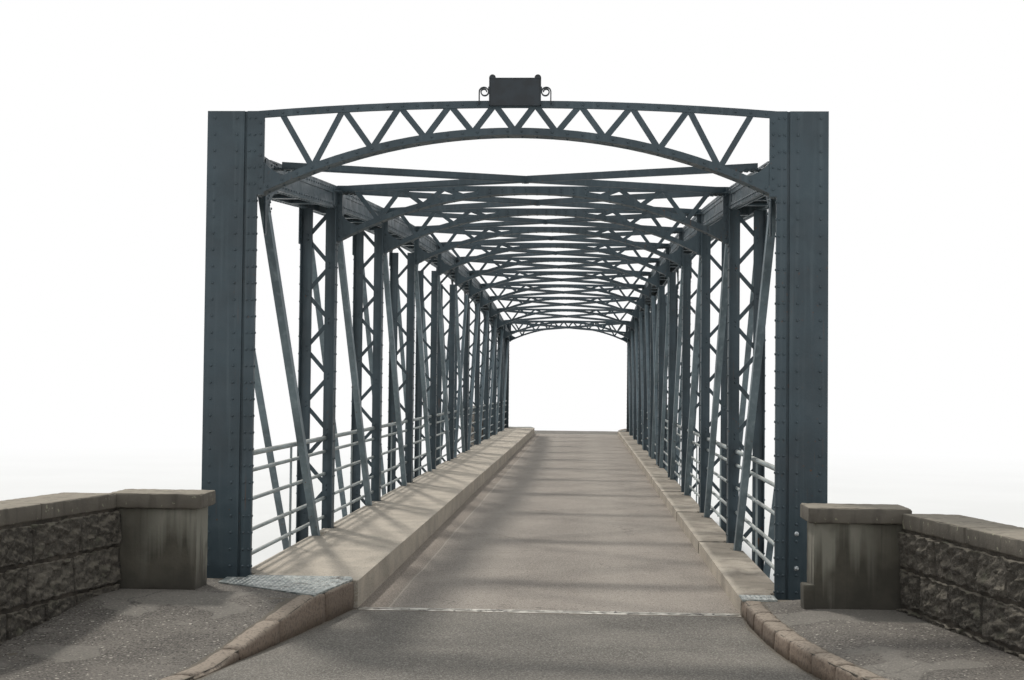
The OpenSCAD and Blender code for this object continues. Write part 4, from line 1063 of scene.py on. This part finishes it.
class BRIDGE_OT_parapet_stones(bpy.types.Operator):
    """Rock-faced stones on the inner faces of the wing parapets, which stand next to the road"""

    bl_idname = "bridge.parapet_stones"
    bl_label = "Parapet stones"

    def execute(self, context):
        s = sizes()
        look = (s.stone_l, s.parapet_course, s.parapet_out, True)
        near = parapet_faces()
        stones("stones_near_parapets", near, (40, 22), s.seed + 20, *look)
        stones("stones_far_parapets", [turned(w, 1, -1) for w in near], (40, 22), s.seed + 30, *look)
        return {"FINISHED"}


def worn_box(plan, low, high, radius, wear, seed):
    """Points and faces of a stone block over four corners in plan. Its six faces are grids on one
    box. A point near an edge moves onto a cylinder of the given radius round a smaller box, and
    every point moves inwards by smooth noise, deeper on the edges, which chips them."""
    plan = np.array(plan, float)
    d1, d2 = plan[1] - plan[0], plan[3] - plan[0]
    if d1[0] * d2[1] - d1[1] * d2[0] < 0:
        plan = plan[[0, 3, 2, 1]]
    size = np.array([np.linalg.norm(plan[1] - plan[0]), np.linalg.norm(plan[3] - plan[0]), high - low])
    cuts = [np.unique(np.concatenate([[0, radius * 0.3], spaced(radius, l - radius, 0.022),
                                      [l - radius * 0.3, l]])) for l in size]
    points, faces, start = [], [], 0
    for axis in range(3):
        a, b = (axis + 1) % 3, (axis + 2) % 3
        for end in (0, 1):
            grid = np.zeros((len(cuts[a]), len(cuts[b]), 3))
            grid[..., a] = cuts[a][:, None]
            grid[..., b] = cuts[b][None, :]
            grid[..., axis] = end * size[axis]
            quads = grid_faces(len(cuts[a]), len(cuts[b])) + start
            faces.append(quads if end else quads[:, ::-1])
            points.append(grid.reshape(-1, 3))
            start += len(points[-1])
    points, merged = np.unique(np.round(np.concatenate(points), 7), axis=0, return_inverse=True)
    p = points - size / 2
    core = np.clip(p, radius - size / 2, size / 2 - radius)
    away = p - core
    reach = np.linalg.norm(away, axis=1, keepdims=True)
    corner = np.clip((reach / radius - 1) / 0.42, 0, 1)
    chips = np.clip(ripple(p, 0.06, seed + 1) + ripple(p, 0.025, seed + 2) - 0.4, 0, 1.5)[:, None]
    rough = 0.5 + 0.5 * np.clip(ripple(p, 0.035, seed + 3), -1, 1)[:, None]
    p = core + away / reach * (radius - wear * (0.45 * rough + chips * corner))
    u, v, w = (p / size + 0.5).T
    spot = (plan[0] * ((1 - u) * (1 - v))[:, None] + plan[1] * (u * (1 - v))[:, None]
            + plan[2] * (u * v)[:, None] + plan[3] * ((1 - u) * v)[:, None])
    return np.column_stack([spot, low + w * (high - low)]), merged.ravel()[np.concatenate(faces)]


def blocks(name, node, parts, look, radius, wear, seed):
    """Stone blocks given by plan, lower and upper level, each with its own tone, which stand for a
    node of the frame."""
    points, faces, tones, start = [], [], [], 0
    tone = np.random.default_rng(seed).uniform(0, 1, len(parts))
    for k, (plan, low, high) in enumerate(parts):
        p, f = worn_box(plan, low, high, radius, wear, seed + 5 * k)
        points.append(p)
        faces.append(f + start)
        tones.append(np.full(len(p), tone[k]))
        start += len(p)
    obj = piece(name, np.concatenate(points), faces, look, smooth=True)
    give_tones(obj, np.concatenate(tones))
    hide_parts(node)


def oblong(x0, x1, y0, y1):
    """Plan of a block square to the bridge."""
    return [(x0, y0), (x1, y0), (x1, y1), (x0, y1)]


def wing_x(base, y):
    """Distance from the middle of a line that starts at the base behind the pillar and follows
    the splay of the wing parapets."""
    return base + WING_SHIFT * np.maximum(0, (y - PILLAR_REAR) / WING_L)


class BRIDGE_OT_pillars(bpy.types.Operator):
    """Weathered pillars with the guard stone, their caps, and the stones of the copings"""

    bl_idname = "bridge.pillars"
    bl_label = "Pillars, caps and copings"

    def execute(self, context):
        s = sizes()
        sunk, joint = 0.004, 0.0015
        for far, end in ENDS:
            shafts, caps, copings = [], [], []
            for side in (-1, 1):
                x0, x1 = side * PILLAR_IN[side], side * PILLAR_OUT
                over = side * CAP_OVER
                under_cap, under_coping = ROAD + CAP_BOTTOM[side], ROAD + COPING_BOTTOM[side]
                shafts.append((oblong(x0, x1, -far * PILLAR_REAR, -far * PILLAR_FRONT),
                               ROAD + STRIP_H[side] - sunk, under_cap))
                caps.append((oblong(x0 - over, x1 + over, -far * (PILLAR_REAR + CAP_OVER),
                                    -far * (PILLAR_FRONT - CAP_OVER)), under_cap, under_cap + CAP_T))
                ends = np.linspace(PILLAR_REAR + CAP_OVER, ABUTMENT_END, 4)
                inner, outer = WING_IN - COPING_OVER, WING_OUT + COPING_OVER
                for a, b in zip(ends[:-1] + joint, ends[1:] - joint):
                    plan = [(side * wing_x(x, y), -far * y)
                            for x, y in ((inner, a), (outer, a), (outer, b), (inner, b))]
                    copings.append((plan, under_coping, under_coping + CAP_T))
            x = PILLAR_IN[1]
            shafts.append((oblong(x - GUARD_W, x + 0.010, -far * PILLAR_REAR, -far * (PILLAR_REAR - GUARD_D)),
                           ROAD + KERB_H - sunk, ROAD + KERB_H + GUARD_H))
            seed = s.seed + 80 + 40 * far
            soft = s.block_round
            blocks(f"pillar_shafts_{end}", f"{end}_pillars", shafts,
                   "lime_rendered_stone", soft * 0.7, 0.003, seed)
            blocks(f"pillar_caps_{end}", f"{end}_pillar_caps", caps,
                   "dressed_sandstone", soft, 0.004, seed + 11)
            blocks(f"coping_stones_{end}", f"{end}_wing_copings", copings,
                   "dressed_sandstone", soft, 0.004, seed + 21)
        return {"FINISHED"}


# Kerbs and asphalt on the abutments

def flare_x(side, d):
    """Distance of the kerb line from the middle at the distance d behind the open joint: a power
    curve in ten straight pieces."""
    start, flare, power = FLARE[side]
    k = np.linspace(0, 1, 11)
    return np.interp(d / ABUTMENT_L, k, start + flare * k ** power)


def strip_z(side, d):
    """Height over the road of the raised strip beside it, at the distance d behind the open
    joint: level on the right, and with a ramp down to the road on the left."""
    if side > 0:
        return KERB_H + 0 * d
    return np.interp(d, [RAMP_START, RAMP_END], [FOOTWAY_H, RAMP_H])


def kerb_stones(name, side, far, length, seed):
    """Kerb stones along the flared line: a rounded profile carried along each stone's stretch of
    the line, rim points sunk at both ends, with noise on its faces."""
    rng = np.random.default_rng(seed)
    run, gap, w = ABUTMENT_L - 0.004, 0.003, sizes().kerb_stone_w
    count = int(round(run / length))
    widths = rng.uniform(0.75, 1.25, count)
    ends = np.concatenate([[0], np.cumsum(widths) / widths.sum()]) * run + 0.002
    # across the stone, its share of the strip's height, and what is added to it
    profile = np.array([(0.012, 0, -0.004), (-0.006, 0, -0.002), (-0.0065, 0.45, 0), (-0.005, 1, -0.010),
                        (-0.001, 1, -0.001), (0.010, 1, 0.0045), (w * 0.5, 1, 0.0056),
                        (w - 0.008, 1, 0.0045), (w, 1, 0.001), (w, 1, -0.006)])
    steps = np.concatenate([[0], np.linspace(0, 1, 9), [1]])
    y0, y1 = ends[:-1, None] + gap, ends[1:, None] - gap
    along = y0 + steps * (y1 - y0)
    x = flare_x(side, along)[..., None]
    height = strip_z(side, along)[..., None]
    tilt = rng.uniform(-0.0025, 0.0025, (count, 1, 1))
    rise = rng.uniform(-0.002, 0.002, (count, 1, 1))
    px = x + profile[:, 0] + tilt
    pz = profile[:, 1] * height + profile[:, 2] + rise
    py = np.broadcast_to(along[..., None], px.shape)
    flat = np.stack([px, py, pz + seed], axis=-1)
    rough = ripple(flat, 0.030, seed + 1) * 0.0016 + ripple(flat, 0.012, seed + 2) * 0.0008
    rough[:, [0, -1]] = 0
    px = px + rough * np.sign(profile[:, 0] - 0.02)
    pz = pz + rough
    # how far each cross section shrinks towards the stone's middle
    shrink = np.zeros((len(steps), 1))
    shrink[[0, 1, -2, -1], 0] = (0.55, 0.06, 0.06, 0.55)
    px = px + (x + w / 2 - px) * shrink
    pz = pz + (height / 2 - pz) * shrink
    points = np.stack([side * px, -far * (BACK_WALL + py), ROAD + pz], axis=-1)
    faces = grid_faces(len(steps), len(profile), count)
    if side * far > 0:
        faces = faces[:, ::-1]
    obj = piece(name, points, [faces], "hammered_granite", smooth=True)
    give_tones(obj, np.repeat(rng.uniform(0, 1, count), len(steps) * len(profile)))


class BRIDGE_OT_kerb_stones(bpy.types.Operator):
    """Granite kerb stones along the flared edges of the road on the abutments"""

    bl_idname = "bridge.kerb_stones"
    bl_label = "Kerb stones"

    def execute(self, context):
        s = sizes()
        for far, end in ENDS:
            kerb_stones(f"kerb_stones_{end}_right", 1, far, s.kerb_stone_l, s.seed + 40 + far)
            kerb_stones(f"kerb_stones_{end}_left", -1, far, s.kerb_stone_l * 1.9, s.seed + 50 + far)
        return {"FINISHED"}


def asphalt(name, look, side, far, d, x, level, waves, sunk, seed):
    """A sheet of asphalt on an abutment over a grid of places: smooth noise of two wavelengths on
    its level, and a rim that is sunk into the abutment."""
    d = d + 0 * x
    flat = np.stack([x, BACK_WALL + d, 0 * x + seed], axis=-1)
    z = level + sum(height * ripple(flat, wave, seed + k) for k, (wave, height) in enumerate(waves))
    z = np.where(on_rim(x.shape), sunk, z)
    points = np.stack([side * x, -far * (BACK_WALL + d), ROAD + z], axis=-1)
    faces = grid_faces(*x.shape)
    if side * far < 0:
        faces = faces[:, ::-1]
    piece(name, points, [faces], look, smooth=True)


def carriageway(name, far, seed):
    """The asphalt between the kerb lines on an abutment, a few millimetres thick."""
    t, u = np.linspace(0, 1, 42)[:, None], np.linspace(0, 1, 40)[None, :]
    d = 0.032 + t * (ABUTMENT_L - 0.034)
    left, right = -flare_x(-1, d), flare_x(1, d)
    asphalt(name, "rolled_asphalt", 1, far, d, left + (right - left) * u, 0.0030,
            ((0.45, 0.0012), (0.09, 0.0004)), -0.002, seed)


def footpath(name, side, far, seed):
    """The asphalt on a raised strip of an abutment, from the kerb stones to the parapet. It
    follows the strip's height, and on the right it rises a little towards the wall."""
    t, u = np.linspace(0, 1, 48)[:, None], np.linspace(0, 1, 26)[None, :]
    start, end = (0.062, ABUTMENT_L - 0.008) if side > 0 else (0.004, ABUTMENT_L - 0.004)
    d = start + t * (end - start)
    inner = flare_x(side, d) + sizes().kerb_stone_w - 0.006
    beside_pillar = BACK_WALL + d < PILLAR_REAR
    outer = np.where(beside_pillar, WING_OUT - 0.012, wing_x(WING_IN, BACK_WALL + d) + 0.008)
    x = inner + (outer - inner) * u
    share = np.clip((x - inner) / 0.20, 0, 1)
    rise = 0.018 * share ** 2 * (3 - 2 * share) if side > 0 else 0
    strip = strip_z(side, d)
    asphalt(name, "footpath_asphalt", side, far, d, x, strip + rise + 0.0025,
            ((0.35, 0.0015), (0.08, 0.0006)), strip - 0.004, seed)


class BRIDGE_OT_asphalt(bpy.types.Operator):
    """Worn asphalt between the kerbs, and coarse asphalt on the raised strips of both abutments"""

    bl_idname = "bridge.asphalt"
    bl_label = "Asphalt on the abutments"

    def execute(self, context):
        seed = sizes().seed
        carriageway("asphalt_near", 1, seed + 60)
        carriageway("asphalt_far", -1, seed + 61)
        for far, end in ENDS:
            for side, hand in SIDES:
                footpath(f"footpath_{end}_{hand}", side, far, seed + 64 + 2 * far + side)
        return {"FINISHED"}


# Small pieces

def treads(spots, angles, length, width, height):
    """Corners of raised treads on a plate: low bars with narrower tops, each turned by its own
    angle about the vertical."""
    way = np.stack([np.cos(angles), np.sin(angles)], axis=-1)
    side = np.stack([-way[:, 1], way[:, 0]], axis=-1)
    corners = []
    for grow, z in ((1, -0.001), (0.72, height)):
        for a, b in ((-1, -1), (1, -1), (1, 1), (-1, 1)):
            xy = spots[:, :2] + way * (a * grow * length / 2) + side * (b * grow * width / 2)
            corners.append(np.column_stack([xy, spots[:, 2] + z]))
    return np.stack(corners, axis=1)


class BRIDGE_OT_joint_treads(bpy.types.Operator):
    """Raised treads on the cover plate of the footway and on the toothed plate of the kerb"""

    bl_idname = "bridge.joint_treads"
    bl_label = "Treads on the joint plates"

    def execute(self, context):
        pitch, edge = sizes().tread_pitch, 0.018
        # the cover plate: its overlap on the deck and on the side, and its shorter and longer edge
        lap, wing, short, reach = 0.070, 0.075, 0.150, 0.460
        start, flare, power = FLARE[-1]
        corner = start + flare * (reach / ABUTMENT_L) ** power
        gx, gy = np.meshgrid(np.arange(0, 0.60, pitch), np.arange(-0.09, 0.50, pitch))
        x, d = (FOOTWAY_X + gx).ravel(), gy.ravel()
        outer = short + (reach - short) * (DECK_HALF + wing - x) / (DECK_HALF + wing - corner)
        inner = np.interp(d, [-lap, 0, reach], [FOOTWAY_X + 0.040, start, corner])
        keep = (d < outer - edge) & (x > inner + edge) & (d > edge - lap)
        keep &= x < DECK_HALF + np.where(d > edge, wing, 0) - edge
        odd = (np.round(gx / pitch) + np.round((gy + 0.09) / pitch)).ravel() % 2
        lean = 0.9 - 1.8 * odd[keep]
        kerb_x, kerb_d = np.meshgrid(KERB_X + 0.014 + np.arange(7) * 0.0186,
                                     (0.011, 0.028, 0.045, -0.020, -0.036, -0.052))
        kerb_x, kerb_d = kerb_x.ravel(), kerb_d.ravel()
        cover_z, kerb_z = ROAD + FOOTWAY_H + PLATE_T, ROAD + KERB_H + PLATE_T
        for far, end in ENDS:
            cover = np.column_stack([-x, -far * (BACK_WALL + d), 0 * x + cover_z])[keep]
            kerb = np.column_stack([kerb_x, -far * (BACK_WALL + kerb_d), 0 * kerb_x + kerb_z])
            corners = [treads(cover, far * lean, 0.017, 0.0045, 0.0016),
                       treads(kerb, 0 * kerb_x, 0.0135, 0.0065, 0.002)]
            boxes(f"treads_{end}", np.concatenate(corners), "worn_tread_steel")
        return {"FINISHED"}


class BRIDGE_OT_bolts(bpy.types.Operator):
    """Anchor bolts of the bearings, bolts of the rails on their stanchions, and two galvanised
    bolts on the near right end post"""

    bl_idname = "bridge.bolts"
    bl_label = "Bolts"

    def execute(self, context):
        s = sizes()
        plate = ROAD + BEAM_BOTTOM - 0.0675
        square = np.array(oblong(-0.162, 0.162, -0.162, 0.162))
        rows = [row_at(side * TRUSS_X + square[:, 0], far * HALF_SPAN + square[:, 1], plate, (0, 0, 1))
                for far in (-1, 1) for side in (-1, 1)]
        heads("anchor_bolts", rows, s.bolt_d * 1.5, 0.016, 6, "bearing_cast_iron", False)
        mid = point_y(np.arange(PANELS)) + PANEL_L / 2
        rows = [row_at(side * (TRUSS_X - 0.0615), mid, ROAD + base + rise, (-side, 0, 0))
                for side, base in STRIP_H.items() for rise in (0.060, 0.165, 0.300, 0.425)]
        heads("rail_bolts", rows, 0.013, 0.006, 8, "rail_paint", True)
        rows = [row_at(1.188, -SPAN_END, ROAD + np.array([0.174, 0.317]), (0, -1, 0))]
        heads("pale_bolts", rows, s.bolt_d, 0.008, 8, "galvanised_bolt", True)
        return {"FINISHED"}


class BRIDGE_OT_board_rim(bpy.types.Operator):
    """A thin raised rim round the face of the bare board"""

    bl_idname = "bridge.board_rim"
    bl_label = "Board rim"

    def execute(self, context):
        half, low, high, rim = 0.110, ROAD + 2.100, ROAD + 2.220, 0.006
        front = -SPAN_END - 0.012
        bars = [(-half, half, low, low + rim), (-half, half, high - rim, high),
                (-half, -half + rim, low, high), (half - rim, half, low, high)]
        corners = [[(x0 + inset, y, z0 + inset), (x1 - inset, y, z0 + inset),
                    (x1 - inset, y, z1 - inset), (x0 + inset, y, z1 - inset)]
                   for x0, x1, z0, z1 in bars for y, inset in ((front + 0.001, 0), (front - 0.002, 0.0012))]
        boxes("board_rim", np.array(corners), "board_enamel")
        return {"FINISHED"}


# Camera, light and stage

class BRIDGE_OT_camera(bpy.types.Operator):
    """The camera at the photograph's place: its forward axis and roll come from the vanishing
    point of the bridge's long edges and the lean of its upright ones"""

    bl_idname = "bridge.camera"
    bl_label = "Camera"

    def execute(self, context):
        width, height = 1024, 680
        focal, vanish_x, vanish_y, lean = 1422.0, 584.0, 385.0, 0.0104
        across, down = vanish_x - width / 2, vanish_y - height / 2
        forward = Vector((across, down, focal)).normalized()
        up = Vector((lean, -1, (down - across * lean) / focal)).normalized()
        right = forward.cross(up)
        if right.x < 0:
            right = -right
        rows = [Vector((right[k], forward[k], up[k])) * sign for k, sign in ((0, 1), (1, -1), (2, -1))]
        data = bpy.data.cameras.new("camera")
        data.sensor_width = 36
        data.lens = focal * 36 / width
        data.clip_end = 400
        camera = bpy.data.objects.new("camera", data)
        context.scene.collection.objects.link(camera)
        placed = Matrix(rows).transposed().to_4x4()
        placed.translation = Vector((0.302, -16.275, 2.575))
        camera.matrix_world = placed
        context.scene.camera = camera
        return {"FINISHED"}


def seen_ray(tree):
    """1 for what the camera sees, also in gloss and through glass, and 0 for light on surfaces."""
    path = add(tree, "LightPath").outputs
    seen = path["Is Camera Ray"]
    for kind in ("Is Glossy Ray", "Is Transmission Ray"):
        seen = add(tree, "Math", {0: seen, 1: path[kind]}, operation="MAXIMUM").outputs[0]
    return seen


class BRIDGE_OT_stage(bpy.types.Operator):
    """A plain pale floor, white surroundings and soft light from the left and behind"""

    bl_idname = "bridge.stage"
    bl_label = "Stage"

    def execute(self, context):
        scene = context.scene
        size = 220.0
        mesh = bpy.data.meshes.new("studio_floor")
        mesh.from_pydata([(x, y, 0) for x, y in oblong(-size, size, -size, size)], [], [(0, 1, 2, 3)])
        floor = bpy.data.objects.new("studio_floor", mesh)
        scene.collection.objects.link(floor)
        material, tree, shader, place = begin("studio_floor", 0.95)
        tree.links.new(coats(tree, place, "#e6e6e4", [((2.0,), "#eaeae8")]), shader.inputs["Base Color"])
        # far from the bridge the floor turns into the white backdrop, for the camera alone
        away = add(tree, "VectorMath", {0: place}, operation="LENGTH").outputs["Value"]
        away = add(tree, "MapRange", {"Value": away, "From Min": 16.0, "From Max": 42.0}).outputs[0]
        share = add(tree, "Math", {0: away, 1: seen_ray(tree)}, operation="MULTIPLY")
        glow = add(tree, "Emission", {"Color": (1, 1, 1, 1), "Strength": 1.0})
        mixed = add(tree, "MixShader", {0: share.outputs[0], 1: shader.outputs[0], 2: glow.outputs[0]})
        tree.links.new(mixed.outputs[0], tree.nodes["Material Output"].inputs[0])
        mesh.materials.append(material)

        world = bpy.data.worlds.new("studio")
        world.use_nodes = True
        tree = world.node_tree
        tree.nodes.clear()
        light = add(tree, "Background", {"Color": rgba("#eef2f6"), "Strength": 0.72})
        white = add(tree, "Background", {"Color": (1, 1, 1, 1), "Strength": 1.0})
        mixed = add(tree, "MixShader", {0: seen_ray(tree), 1: light.outputs[0], 2: white.outputs[0]})
        add(tree, "OutputWorld", {0: mixed.outputs[0]})
        scene.world = world

        lamp = bpy.data.lights.new("key", "SUN")
        lamp.energy = 1.9
        lamp.angle = 0.08
        lamp.color = (1.0, 0.96, 0.9)
        key = bpy.data.objects.new("key", lamp)
        key.rotation_euler = Vector((0.42, -0.68, -1.0)).to_track_quat("-Z", "Y").to_euler()
        scene.collection.objects.link(key)
        scene.view_settings.view_transform = "Standard"
        return {"FINISHED"}


class BRIDGE_PT_panel(bpy.types.Panel):
    """Lists the steps, the sizes and the colours"""

    bl_label = "Truss bridge"
    bl_idname = "BRIDGE_PT_panel"
    bl_space_type = "VIEW_3D"
    bl_region_type = "UI"
    bl_category = "Bridge"

    def draw(self, context):
        for step in STEPS:
            self.layout.operator(step.bl_idname)
        for group in (context.scene.bridge_sizes, context.scene.bridge_colours):
            box = self.layout.box()
            for key in group.__annotations__:
                box.prop(group, key)


STEPS = (
    BRIDGE_OT_camera, BRIDGE_OT_finishes, BRIDGE_OT_rivets, BRIDGE_OT_chord_angles, BRIDGE_OT_brace_legs,
    BRIDGE_OT_board_rim, BRIDGE_OT_bolts, BRIDGE_OT_joint_treads, BRIDGE_OT_abutment_stones,
    BRIDGE_OT_parapet_stones, BRIDGE_OT_pillars, BRIDGE_OT_kerb_stones, BRIDGE_OT_asphalt, BRIDGE_OT_stage,
)
CLASSES = (BridgeSizes, BridgeColours, *STEPS, BRIDGE_PT_panel)


def register():
    for cls in CLASSES:
        bpy.utils.register_class(cls)
    bpy.types.Scene.bridge_sizes = PointerProperty(type=BridgeSizes)
    bpy.types.Scene.bridge_colours = PointerProperty(type=BridgeColours)


def unregister():
    del bpy.types.Scene.bridge_colours
    del bpy.types.Scene.bridge_sizes
    for cls in reversed(CLASSES):
        bpy.utils.unregister_class(cls)


def main():
    register()
    for step in STEPS:
        area, name = step.bl_idname.split(".")
        getattr(getattr(bpy.ops, area), name)()


if __name__ == "__main__":
    main()
